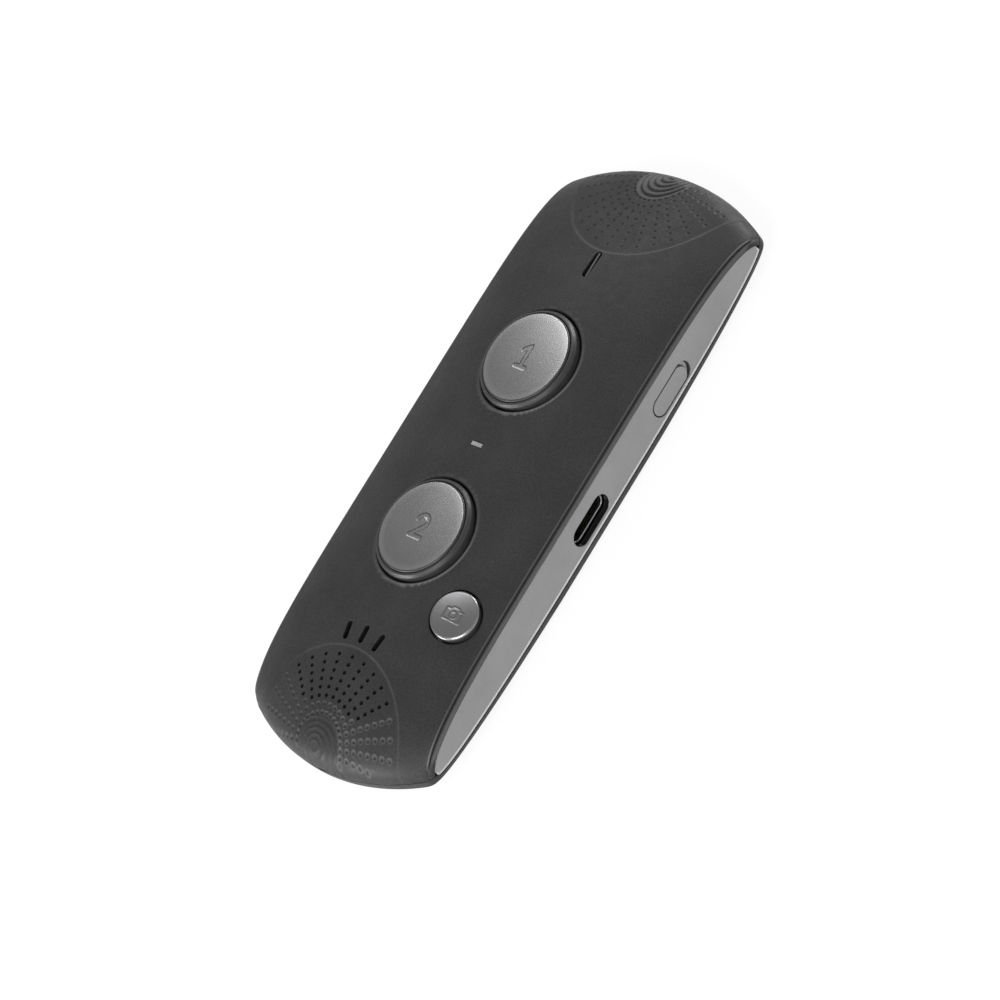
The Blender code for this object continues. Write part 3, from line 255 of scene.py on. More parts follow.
# Shape of the body
def end_reach(x, inset=0.0):
    across = np.minimum(np.abs(x), HALF_X - inset)
    radius = END_R - inset
    corner = CORNER_R - inset
    corner_x = HALF_X - CORNER_R
    corner_y = END_CENTRE + math.sqrt((radius - corner) ** 2 - corner_x ** 2)
    tangent = radius * corner_x / (radius - corner)
    arc = END_CENTRE + np.sqrt(radius ** 2 - across ** 2)
    turn = corner_y + np.sqrt(np.maximum(corner ** 2 - (across - corner_x) ** 2, 0.0))
    return np.where(across < tangent, arc, turn)


SIDE_REACH = float(end_reach(HALF_X))
PANEL_REACH = SIDE_REACH + CORNER_REACH


def side_x(y):
    over = np.maximum(np.abs(y) - SIDE_REACH, 0.0)
    return HALF_X - CORNER_R + np.sqrt(np.maximum(CORNER_R ** 2 - over ** 2, 0.0))


def fall(share, first, second):
    return (1 - np.minimum(np.abs(share), 1.0) ** first) ** (1 / second)


def crown(x, share, wall=0.0):
    across = np.minimum(np.abs(x) / CREASE_X, 1.0)
    top = CREASE_Z + (CROWN_Z - CREASE_Z) * (1 - across ** ACROSS_POWER) - wall
    blend = across ** 2
    powers = [power + change * blend for power, change in zip(CROWN_END_POWERS, CREASE_POWERS)]
    return END_Z + (top - END_Z) * fall(share, *powers)


def crown_at(x, y):
    return crown(x, y / end_reach(x))


def belly(share, wall=0.0):
    return np.maximum(END_Z - (END_Z + BELLY_DEPTH - wall) * fall(share, *BELLY_END_POWERS), wall)


def panel_top(y):
    return SEAM_Z + (PANEL_TOP_Z - SEAM_Z) * fall(y / PANEL_REACH, *PANEL_TOP_POWERS)


def panel_bottom(y):
    return SEAM_Z - (SEAM_Z - PANEL_BOTTOM_Z) * fall(y / PANEL_REACH, *PANEL_BOTTOM_POWERS)


def step(value, low, high):
    """Rises smoothly from nothing at low to one at high."""
    share = np.clip((value - low) / (high - low), 0.0, 1.0)
    return share * share * (3 - 2 * share)


def hump(distance, half_width):
    """One at the middle of a ridge or groove, and nothing past its half width."""
    return np.clip(1 - (distance / half_width) ** 2, 0.0, 1.0) ** HUMP_POWER


def stack(*columns):
    return np.column_stack(columns)


# Meshes
def grow(parts):
    """Joins (points, faces) pairs into one pair."""
    points, faces, start = [], [], 0
    for some_points, some_faces in parts:
        points.append(np.asarray(some_points, float).reshape(-1, 3))
        faces += [tuple(start + i for i in face) for face in some_faces]
        start += len(points[-1])
    return np.vstack(points), faces


def add_object(name, data):
    added = bpy.data.objects.new(name, data)
    bpy.context.collection.objects.link(added)
    return added


def make(name, part, materials, sharp=SHARP_ANGLE):
    points, faces = part
    mesh = bpy.data.meshes.new(name)
    mesh.from_pydata((np.asarray(points) * MM).tolist(), [], faces)
    shape = bmesh.new()
    shape.from_mesh(mesh)
    bmesh.ops.recalc_face_normals(shape, faces=shape.faces)
    shape.to_mesh(mesh)
    shape.free()
    piece = add_object(name, mesh)
    for material in materials:
        mesh.materials.append(material)
    if sharp is not None:
        smooth(mesh, sharp)
    return piece


def smooth(mesh, angle):
    mesh.shade_smooth()
    mesh.set_sharp_from_angle(angle=math.radians(angle))


def cut(piece, part, operation="DIFFERENCE"):
    """Applies a cutter and keeps the piece's first material."""
    tool = make("cutter", part, [], sharp=None)
    modifier = piece.modifiers.new("cut", "BOOLEAN")
    modifier.object = tool
    modifier.operation = operation
    modifier.solver = "MANIFOLD"
    graph = bpy.context.evaluated_depsgraph_get()
    result = bpy.data.meshes.new_from_object(piece.evaluated_get(graph))
    piece.modifiers.clear()
    old = piece.data
    kept = old.materials[0] if old.materials else None
    result.materials.clear()
    if kept:
        result.materials.append(kept)
    result.polygons.foreach_set("material_index", np.zeros(len(result.polygons), np.int32))
    piece.data = result
    bpy.data.meshes.remove(old)
    bpy.data.objects.remove(tool, do_unlink=True)
    smooth(piece.data, SHARP_ANGLE)


def paint(piece, name, shade):
    """Gives every point a value from 0 to 1, by its place in millimetres."""
    points = np.empty(len(piece.data.vertices) * 3)
    piece.data.vertices.foreach_get("co", points)
    points = points.reshape(-1, 3) / MM
    values = np.clip(shade(points[:, 0], points[:, 1], points[:, 2]), 0.0, 1.0).astype(np.float32)
    layer = piece.data.attributes.get(name) or piece.data.attributes.new(name, "FLOAT", "POINT")
    layer.data.foreach_set("value", values)


def loft(rings, closed=False):
    """Joins rings of equal length; closed joins the last to the first."""
    rings = [np.asarray(ring, float) for ring in rings]
    count = len(rings[0])
    faces = []
    last = (len(rings) - 1) * count
    for low in range(0, last + count if closed else last, count):
        high = 0 if low == last else low + count
        for i in range(count):
            j = (i + 1) % count
            faces.append((low + i, low + j, high + j, high + i))
    if not closed:
        faces += [tuple(range(count)), tuple(range(last, last + count))]
    return np.vstack(rings), faces


def circle(radius, z, sides, x=0.0, y=0.0):
    turn = np.arange(sides) * 2 * math.pi / sides
    return stack(x + radius * np.cos(turn), y + radius * np.sin(turn), np.full(sides, z))


def lathe(profile, sides, closed=False):
    return loft([circle(radius, z, sides) for radius, z in profile], closed)


def rounded(profile, corner, radius, steps=4):
    """Rounds one corner of a (radius, height) profile."""
    before, at, after = (np.array(profile[(corner + k) % len(profile)], float) for k in (-1, 0, 1))
    first = at + (before - at) / np.linalg.norm(before - at) * radius
    second = at + (after - at) / np.linalg.norm(after - at) * radius
    points = [tuple((1 - t) ** 2 * first + 2 * t * (1 - t) * at + t * t * second)
              for t in (k / steps for k in range(steps + 1))]
    return [*profile[:corner], *points, *profile[corner + 1:]]


def obround(length, height, sides):
    radius = height / 2
    reach = length / 2 - radius
    turn = np.linspace(-math.pi / 2, math.pi / 2, sides // 2 + 1)
    first = stack(reach + radius * np.cos(turn), radius * np.sin(turn))
    return np.vstack((first, -first))


def placed(part, matrix):
    """Moves a part by a matrix whose lengths are millimetres."""
    points, faces = part
    matrix = np.array(matrix)
    return np.asarray(points) @ matrix[:3, :3].T + matrix[:3, 3], faces


# Materials
PER_METRE = 1 / MM
COAT_ROUGHNESS = 0.08
PATCH_EDGES = (0.35, 0.65)
NOISE_RANGE = (0.3, 0.7)
MEDIUM_SHARE = 6


def connect(tree, sockets, inputs):
    """Sets each named input to a value, or links it where an output is given."""
    for key, value in inputs.items():
        if isinstance(value, bpy.types.NodeSocket):
            tree.links.new(value, sockets[key])
        else:
            sockets[key].default_value = value


def add_node(tree, kind, inputs, **settings):
    made = tree.nodes.new("ShaderNode" + kind)
    for key, value in settings.items():
        setattr(made, key, value)
    connect(tree, made.inputs, inputs)
    return made


def material(name, colour, second, roughness, metallic, patch, grain, bump, depth, rough_spread=0.06,
             stretch=(1.0, 1.0, 1.0), highlight_colour=None, coat=0.0, specular=0.5, speckle=(0.86, 1.10),
             dark=None):
    """A surface with soft patches, uneven gloss and a fine grain, and where given a painted highlight and
    painted shade read from the pieces' attributes.
    """
    made = bpy.data.materials.new(name)
    made.use_nodes = True
    made.diffuse_color = (*colour, 1.0)
    tree = made.node_tree
    place = add_node(tree, "TexCoord", {}).outputs["Object"]

    def noise(size, detail, scale):
        scaled = add_node(tree, "Mapping", {"Vector": place, "Scale": [PER_METRE * s for s in scale]})
        inputs = {"Vector": scaled.outputs["Vector"], "Scale": 1.0 / size, "Detail": detail}
        return add_node(tree, "TexNoise", inputs).outputs["Fac"]

    def spread(value, low, high):
        inputs = {"Value": value, "From Min": NOISE_RANGE[0], "From Max": NOISE_RANGE[1],
                  "To Min": low, "To Max": high}
        return add_node(tree, "MapRange", inputs).outputs["Result"]

    def mix(factor, first, other, how="MIX"):
        inputs = {"Factor": factor, "A": first, "B": other}
        return add_node(tree, "Mix", inputs, data_type="RGBA", blend_type=how).outputs["Result"]

    fine = noise(grain, 2.0, stretch)
    ramp = add_node(tree, "ValToRGB", {"Fac": noise(patch, 3.0, (1.0, 1.0, 1.0))})
    for element, position, shade in zip(ramp.color_ramp.elements, PATCH_EDGES, (colour, second)):
        element.position = position
        element.color = (*shade, 1.0)
    base = mix(1.0, ramp.outputs["Color"], spread(fine, *speckle), "MULTIPLY")
    # Painted highlights and painted shade, each laid over the colour where its attribute is set
    for mark, tint in (("painted_highlight", highlight_colour), ("painted_shade", dark)):
        if tint:
            layer = add_node(tree, "Attribute", {}, attribute_name=mark)
            base = mix(layer.outputs["Fac"], base, (*tint, 1.0))
    medium = noise(grain * MEDIUM_SHARE, 3.0, stretch)
    raised = add_node(tree, "Bump", {"Strength": bump, "Distance": depth * MM, "Height": fine})
    connect(tree, tree.nodes["Principled BSDF"].inputs, {
        "Base Color": base, "Roughness": spread(medium, roughness - rough_spread, roughness + rough_spread),
        "Normal": raised.outputs["Normal"], "Metallic": metallic, "Coat Weight": coat,
        "Coat Roughness": COAT_ROUGHNESS, "Specular IOR Level": specular})
    return made


# The colours given last are those of painted highlights and painted shade
# Two tones, roughness, metallic, sizes of patches and grain, strength and depth of the bump
graphite = material(
    "soft_touch_plastic", (0.031, 0.031, 0.0322), (0.038, 0.038, 0.0392), 0.50, 0.0, 9.0, 0.28, 0.8, 0.035,
    highlight_colour=(0.30, 0.30, 0.30), specular=0.20, speckle=(0.80, 1.22), dark=(0.004, 0.004, 0.004))
silver = material(
    "satin_paint", (0.275, 0.275, 0.28), (0.305, 0.305, 0.31), 0.34, 0.75, 9.0, 0.12, 0.03, 0.005,
    stretch=(1.0, 0.4, 1.0), highlight_colour=(0.75, 0.75, 0.75), speckle=(0.96, 1.03))
button_silver = material(
    "satin_disc", (0.325, 0.325, 0.33), (0.345, 0.345, 0.35), 0.27, 0.88, 5.0, 0.12, 0.003, 0.002, 0.01,
    highlight_colour=(0.60, 0.60, 0.60), speckle=(0.985, 1.01), dark=(0.13, 0.13, 0.135))
cap_silver = material(
    "satin_cap", (0.27, 0.27, 0.275), (0.285, 0.285, 0.29), 0.34, 0.85, 3.0, 0.12, 0.003, 0.002, 0.01,
    highlight_colour=(0.60, 0.60, 0.60), speckle=(0.985, 1.01), dark=(0.10, 0.10, 0.105))
gloss_black = material(
    "gloss_black_plastic", (0.010, 0.010, 0.011), (0.014, 0.014, 0.015), 0.16, 0.0, 3.0, 0.4, 0.05, 0.01,
    0.05)
collar_grey = material(
    "satin_dark_plastic", (0.034, 0.034, 0.035), (0.040, 0.040, 0.041), 0.46, 0.0, 3.0, 0.25, 0.10, 0.010)
light_grey = material(
    "diffusing_plastic", (0.30, 0.30, 0.30), (0.36, 0.36, 0.36), 0.34, 0.0, 1.0, 0.15, 0.1, 0.01)
board_green = material(
    "board_lacquer", (0.012, 0.075, 0.035), (0.018, 0.10, 0.05), 0.38, 0.0, 4.0, 0.3, 0.2, 0.02, coat=0.3)
steel = material(
    "plated_steel", (0.56, 0.56, 0.55), (0.64, 0.64, 0.62), 0.30, 1.0, 3.0, 0.1, 0.15, 0.01,
    stretch=(1.0, 0.15, 1.0))
cell_wrap = material(
    "cell_wrap_film", (0.045, 0.075, 0.13), (0.055, 0.09, 0.155), 0.36, 0.0, 8.0, 0.5, 0.2, 0.04)
rubber = material(
    "moulded_rubber", (0.016, 0.016, 0.016), (0.024, 0.024, 0.024), 0.75, 0.0, 2.0, 0.12, 0.4, 0.03)
ceramic = material("led_ceramic", (0.70, 0.70, 0.66), (0.78, 0.78, 0.74), 0.45, 0.0, 0.8, 0.1, 0.1, 0.01)
gold = material("contact_gold", (0.75, 0.50, 0.18), (0.80, 0.56, 0.22), 0.28, 1.0, 1.0, 0.08, 0.1, 0.005)
lens_black = material(
    "lens_glass", (0.006, 0.008, 0.012), (0.010, 0.012, 0.018), 0.05, 0.0, 2.0, 0.6, 0.02, 0.005, 0.02,
    coat=1.0)
slot_grey = material(
    "slot_insert", (0.075, 0.075, 0.076), (0.09, 0.09, 0.091), 0.45, 0.0, 1.0, 0.1, 0.05, 0.01,
    dark=(0.004, 0.004, 0.004))

slot_of = {
    "graphite_soft_touch": graphite, "satin_silver": silver, "button_silver": button_silver,
    "gloss_black": gloss_black, "light_pipe": light_grey, "board_green": board_green, "bright_metal": steel,
    "cell_wrap": cell_wrap, "black_rubber": rubber, "white_ceramic": ceramic, "camera_glass": lens_black}
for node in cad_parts.values():
    for place in node.material_slots:
        base = place.material.name.split(".")[0] if place.material else ""
        place.material = slot_of.get(base, graphite)


# Grid of the front skin: (from, to, step) runs, and closer lines where it bends
MIDDLE_COLUMNS = (0.0, 16.6, 0.17)
SIDE_COLUMNS = (16.6, 19.8, 0.27)
CREASE_COLUMNS = [
    19.8, 19.95, 20.08, 20.18, 20.26, 20.32, 20.37, 20.41, 20.45, 20.49, 20.53, 20.57, 20.61, 20.66, 20.74,
    20.84, 20.94, 21.02, 21.07]
FRONT_END = [
    0.0, 0.0007, 0.0013, 0.0020, 0.0029, 0.0039, 0.0051, 0.0065, 0.0081, 0.0099, 0.0119, 0.0141, 0.0165,
    0.0191, 0.0219]
FRONT_DETAIL = (0.0248, 0.345, 0.0031)
FRONT_MIDDLE = (0.345, 1.0, 0.0095)
FRONT_INNER_STEP = 9

# Relief of the front skin; pairs are the upper and the lower end's, or where a rise begins and ends
RELIEF_FADE = (-1.0, 13.0)
RECESS_DEPTH = 0.12
RECESS_EDGE = (RECESS_R - 0.16, RECESS_R + 0.10)
DIMPLE_RS = (0.34, 0.37)
DIMPLE_POWER = 0.8
DRILL_DEPTH = 0.10
DIMPLE_DEPTHS = (0.17, 0.21)
DIMPLE_RIM = (0.04, 0.46, 0.14)
NEST_REACH = 4.8
RING_START = 0.35
GROOVE_DRIFT = (-0.2, 1.6)
GROOVE_PITCH = 0.86
GROOVE_POWER = 1.6
GROOVE_DEPTH = 0.31
GROOVES_END = (4.8, 5.1)
RIDGE_DRIFT = (-0.7, -0.1)
RIDGE_STRETCH = 1.2
RIDGE_PITCH = 0.90
RIDGE_POWER = 3
RIDGE_HEIGHT = 0.11
RIDGES_END = (4.5, 4.8)
CREASE_GROOVE = (0.42, 20.53, 0.12)
TAIL = (0.955, 0.985)
END_FADE = 0.012

# Painted highlights on the front skin: (strength, place, half width), and pairs where a rise begins and ends
HIGHLIGHT_DEPTH = 0.6
FLANK_HIGHLIGHT = 0.26
FLANK = (20.6, 20.9)
CREASE_HIGHLIGHT = (0.22, 20.31, 0.13)
END_HIGHLIGHT = 0.28
CREASE_END = (40.0, 48.0)
LIP_HIGHLIGHT = (0.10, 0.45, 0.32)
LIP_LIT_HIGHLIGHT = 0.45
LIP_FACING = (0.68, -0.73)
RECESS_HIGHLIGHTS = (0.20, 0.10)
RECESS_HIGHLIGHT_AT = (0.1, 0.22)
RECESS_FACING = (0.5, 0.866)
DIMPLE_HIGHLIGHTS = (0.10, 0.19)
DIMPLE_HIGHLIGHT_AT = (0.40, 0.17)
HIGHLIGHT_SHARES = (0.2, 0.8)
HIGHLIGHT_SIDE = (-6.0, 6.0)
CREST_HIGHLIGHT = 0.24
CRESTS_END = (4.6, 5.0)
NEAR_CENTRE = 0.1

# Painted shade on the walls of its openings
SHADE_DEPTHS = (0.03, 0.12)
SHADE_HALF = 19.5
WELL_MARGIN = 0.5

# Rounded lip of an opening, as angles, and the flare past them as shares of the lip
LIP_DEGREES = (0, 18, 36, 54, 70)
LIP_FLARE = 0.6
LIP_RISE = 0.22


# Front cover
def even(low, high, spacing):
    count = max(int(math.ceil((high - low) / spacing)), 1)
    return list(np.linspace(low, high, count + 1))[:-1]


def mirrored(values):
    return np.array([-v for v in reversed(values) if v > 0] + list(values))


def rows_from(end_rows, detail, middle):
    """Rows from end to end, as shares of the reach, from the lines of one half."""
    from_end = end_rows + even(*detail) + even(*middle) + [1.0]
    return mirrored([1.0 - v for v in reversed(from_end)])


def dots(x, y):
    """Distance to the nearest dot, whether that is a hole, and distance to the grille's centre."""
    end = np.sign(y)
    dy = GRILLE_Y - np.abs(y)
    radius = np.hypot(x, dy)
    row = np.clip(np.round((GRILLE_OUTER - radius) / GRILLE_STEP), 0, DOT_ROWS)
    spoke = np.clip(np.round(np.arctan2(x, dy) / SPOKE), -DOT_SPOKES, DOT_SPOKES)
    dot_r = GRILLE_OUTER - row * GRILLE_STEP
    dot_x = dot_r * np.sin(spoke * SPOKE)
    dot_y = dot_r * np.cos(spoke * SPOKE)
    distance = np.hypot(x - dot_x, dy - dot_y)
    inside = (end_reach(dot_x) - (GRILLE_Y - dot_y) > DOT_MARGIN) & (np.abs(dot_x) < DOT_HALF_WIDTH)
    last_row = np.where(np.abs(spoke) == DRILL_SPOKES, DRILL_ROWS - 1, DRILL_ROWS)
    drilled = (end < 0) & (np.abs(spoke) <= DRILL_SPOKES) & (row < last_row)
    return np.where(inside, distance, NO_DOT), drilled, radius


def nested(x, outward, shift):
    """Radius of the ring through each point, where the rings' centres drift by shift inwards."""
    px, py = x - shift[0], outward - shift[1]
    share = math.hypot(*shift) / NEST_REACH
    along = (px * shift[0] + py * shift[1]) / NEST_REACH
    flat = 1 - share ** 2
    return (along + np.sqrt(along ** 2 + flat * (px ** 2 + py ** 2))) / flat


def wave(ring, pitch):
    return 0.5 * np.cos(2 * math.pi * (ring - RING_START) / pitch)


def front_relief(x, y):
    """What the moulding adds to or takes from the plain crown."""
    distance, drilled, radius = dots(x, y)
    upper = y > 0
    outward = np.abs(y) - GRILLE_Y
    fade = step(-outward, *RELIEF_FADE)
    relief = -RECESS_DEPTH * fade * (1 - step(radius, *RECESS_EDGE))
    dimple = np.clip(1 - (distance / np.where(upper, *DIMPLE_RS)) ** 2, 0.0, 1.0) ** DIMPLE_POWER
    relief -= np.where(drilled, DRILL_DEPTH, np.where(upper, *DIMPLE_DEPTHS)) * dimple
    height, rim_at, rim_half = DIMPLE_RIM
    relief += height * hump(distance - rim_at, rim_half) * np.where(drilled, 0.0, 1.0)
    groove_ring = nested(x, outward, GROOVE_DRIFT)
    grooves = (0.5 - wave(groove_ring, GROOVE_PITCH)) ** GROOVE_POWER
    ridge_ring = nested(x / RIDGE_STRETCH, outward, RIDGE_DRIFT)
    ridges = (0.5 - wave(ridge_ring, RIDGE_PITCH)) ** RIDGE_POWER
    relief += np.where(
        upper, -GROOVE_DEPTH * grooves * (1 - step(groove_ring, *GROOVES_END)),
        RIDGE_HEIGHT * ridges * (1 - step(ridge_ring, *RIDGES_END)))
    return relief


def front_skin():
    columns = mirrored(even(*MIDDLE_COLUMNS) + even(*SIDE_COLUMNS) + CREASE_COLUMNS + [HALF_X])
    rows = rows_from(FRONT_END, FRONT_DETAIL, FRONT_MIDDLE)
    x = np.tile(columns, (len(rows), 1))
    share = np.tile(rows[:, None], (1, len(columns)))
    y = share * end_reach(x)
    z = crown(x, share)
    edge = panel_top(share * SIDE_REACH) + GAP / 2
    past = np.clip((np.abs(x) - CREASE_X) / (HALF_X - CREASE_X), 0.0, 1.0)
    z = z + (edge - z) * past
    tail = 1 - step(np.abs(share), *TAIL)
    z = z + front_relief(x, y) * step(1 - np.abs(share), 0.0, END_FADE)
    depth, groove_at, groove_half = CREASE_GROOVE
    z = z - depth * hump(np.abs(x) - groove_at, groove_half) * tail
    lowest = np.where(np.abs(x) > CREASE_X, panel_top(y) + GAP / 2, SEAM_Z + GAP / 2) + LAND
    z = np.maximum(z, lowest)
    rim = (np.abs(share) >= 1.0) | (np.abs(x) >= HALF_X)
    z = np.where(rim, panel_top(share * end_reach(x)) + GAP / 2, z)
    return stack(x.ravel(), y.ravel(), z.ravel()), columns, rows


def facing(x, y, direction, radius):
    """How squarely a point round a centre lies to one direction."""
    return np.clip((direction[0] * x + direction[1] * y) / np.maximum(radius, NEAR_CENTRE), 0.0, 1.0)


def front_highlights(x, y, z):
    """Painted highlights on the flanks, creases, lips, recess edges, dimples and ring crests, brighter on
    the sides that face the lamps.
    """
    upper = y > 0
    share = np.abs(y) / end_reach(x)
    tail = 1 - step(share, *TAIL)
    outside = z > crown(x, share) - HIGHLIGHT_DEPTH
    flank = FLANK_HIGHLIGHT * step(np.abs(x), *FLANK) * tail * (z > SEAM_Z)
    strength, crease_at, crease_half = CREASE_HIGHLIGHT
    highlight = ((strength + END_HIGHLIGHT * step(np.abs(y), *CREASE_END))
            * hump(np.abs(x) - crease_at, crease_half) * tail)
    off = np.where(upper, y - BUTTON_Y, y + BUTTON_Y)
    well = np.hypot(x, off)
    strength, lip_at, lip_half = LIP_HIGHLIGHT
    lip_lit = facing(x, off, LIP_FACING, well)
    highlight += (strength + LIP_LIT_HIGHLIGHT * lip_lit ** 2) * hump(well - WELL_R - lip_at, lip_half)
    distance, drilled, radius = dots(x, y)
    recess_lit = facing(x, GRILLE_Y - np.abs(y), RECESS_FACING, radius)
    line_at, line_half = RECESS_HIGHLIGHT_AT
    line = np.where(upper, *RECESS_HIGHLIGHTS) * recess_lit
    highlight += line * hump(radius - RECESS_R - line_at, line_half)
    least, more = HIGHLIGHT_SHARES
    dimple_highlight = np.where(upper, *DIMPLE_HIGHLIGHTS) * (least + more * step(x, *HIGHLIGHT_SIDE))
    rim_at, rim_half = DIMPLE_HIGHLIGHT_AT
    highlight += dimple_highlight * hump(distance - rim_at, rim_half) * (1 - drilled)
    groove_ring = nested(x, np.abs(y) - GRILLE_Y, GROOVE_DRIFT)
    crest = 0.5 + wave(groove_ring, GROOVE_PITCH)
    highlight += CREST_HIGHLIGHT * crest ** 2 * (1 - step(groove_ring, *CRESTS_END)) * upper
    return highlight * outside + flank


def front_painted_shade(x, y, z):
    """Painted shade on the walls of the holes and slots, which no light reaches."""
    open_well = np.hypot(x, np.abs(y) - BUTTON_Y) < WELL_R + WELL_MARGIN
    below = crown_at(x, y) + front_relief(x, y) - z
    return step(below, *SHADE_DEPTHS) * (np.abs(x) < SHADE_HALF) * (1 - open_well)


def grid_faces(first, rows, columns):
    faces = []
    for r in range(rows - 1):
        start = first + r * columns
        faces += [(start + c, start + c + 1, start + columns + c + 1, start + columns + c)
                  for c in range(columns - 1)]
    return faces


def thin(count, every):
    return list(range(0, count - 1, every)) + [count - 1]


def rim_loop(rows, columns, width, first=0):
    """Point numbers round a grid whose rows are width points long."""
    places = [(rows[0], c) for c in columns[:-1]] + [(r, columns[-1]) for r in rows[:-1]]
    places += [(rows[-1], c) for c in reversed(columns[1:])] + [(r, columns[0]) for r in reversed(rows[1:])]
    return [first + r * width + c for r, c in places]


def shell(outer, inner_points, columns, rows, every):
    """A closed shell: a fine outer skin, a coarse inner one and their rim."""
    count_c, count_r = len(columns), len(rows)
    some_c, some_r = thin(count_c, every), thin(count_r, every)
    few_c, few_r = len(some_c), len(some_r)
    first = count_r * count_c
    faces = grid_faces(0, count_r, count_c)
    faces += [tuple(reversed(face)) for face in grid_faces(first, few_r, few_c)]
    all_outer = rim_loop(range(count_r), range(count_c), count_c)
    outer_run = rim_loop(some_r, some_c, count_c)
    inner_run = rim_loop(range(few_r), range(few_c), few_c, first)
    spot = {v: i for i, v in enumerate(all_outer)}
    total = len(all_outer)
    for i, hub in enumerate(inner_run):
        j = (i + 1) % len(outer_run)
        start, stop = spot[outer_run[i]], spot[outer_run[j]]
        run = [all_outer[k % total] for k in range(start, stop + 1 if stop > start else stop + total + 1)]
        faces += [(hub, b, a) for a, b in zip(run, run[1:])]
        faces.append((hub, inner_run[j], run[-1]))
    x, share = np.meshgrid(columns[some_c] / HALF_X, rows[some_r])
    return np.vstack((outer, inner_points(x, share))), faces


def front_inner(column, share):
    x = column * (HALF_X - WALL)
    y = share * end_reach(x, WALL)
    z = np.maximum(crown(x, share, WALL), SEAM_Z + GAP / 2 + LAND)
    rim = (np.abs(share) >= 1.0) | (np.abs(column) >= 1.0)
    edge = panel_top(share * end_reach(column * HALF_X)) + GAP / 2
    z = np.where(rim, edge, z)
    return stack(x.ravel(), y.ravel(), z.ravel())


def lipped(ring_at, lip, depth):
    """A cutter with a rounded lip that flares; ring_at(offset, rise) gives its rings."""
    turns = [math.radians(degrees) for degrees in LIP_DEGREES]
    steps = [(lip * (1 - math.cos(turn)), -lip + lip * math.sin(turn)) for turn in turns]
    out, up = steps[-1]
    out += LIP_FLARE * lip
    steps = [(0.0, -depth)] + steps + [(out, up + LIP_RISE * lip), (out, CUTTER_TOP)]
    return loft([ring_at(*s) for s in steps])


def on_crown(outline):
    """Rings that follow the crown, from an outline(offset) function."""
    def ring_at(offset, rise):
        ring = outline(offset)
        return stack(ring, crown_at(ring[:, 0], ring[:, 1]) + rise)
    return ring_at


def turned_slot(size, x, y, angle):
    """An outline function for a slot that lies along Y before it is turned."""
    def outline(offset):
        points = obround(size[0] + 2 * offset, size[1] + 2 * offset, SLOT_SIDES)
        along, across = points[:, 0], -points[:, 1]
        c, s = math.cos(angle), math.sin(angle)
        return stack(x + across * c - along * s, y + across * s + along * c)
    return outline


def light_outline(offset):
    """A rounded rectangle round the status light."""
    half_x, half_y, radius = (size + offset for size in LIGHT_HOLE)
    points = []
    for cx, cy, start in ((1, 1, 0), (-1, 1, 90), (-1, -1, 180), (1, -1, 270)):
        for k in range(5):
            turn = math.radians(start + 22.5 * k)
            points.append((cx * (half_x - radius) + radius * math.cos(turn),
                           cy * (half_y - radius) + radius * math.sin(turn)))
    return np.array(points)


camera_height = float(crown_at(CAMERA_X, CAMERA_Y))
inner_side, outer_side = (float(crown_at(CAMERA_X + r, CAMERA_Y)) for r in (-CAMERA_R, CAMERA_R))
camera_tilt = TILT_SHARE * math.atan2(inner_side - outer_side, 2 * CAMERA_R)
camera_frame = (Matrix.Translation((CAMERA_X, CAMERA_Y, camera_height))
                @ Matrix.Rotation(camera_tilt, 4, "Y"))


def camera_ring_at(offset, rise):
    """A ring of the camera button's well, slid along its axis to the crown."""
    ring = placed((circle(CAMERA_WELL_R + offset, 0.0, CAMERA_WELL_SIDES), []), camera_frame)[0]
    axis = np.array(camera_frame)[:3, 2]
    reach = (crown_at(ring[:, 0], ring[:, 1]) + rise - ring[:, 2]) / axis[2]
    return ring + reach[:, None] * axis


def post(radius, low, high, sides, x=0.0, y=0.0):
    return loft([circle(radius, low, sides, x, y), circle(radius, high, sides, x, y)])


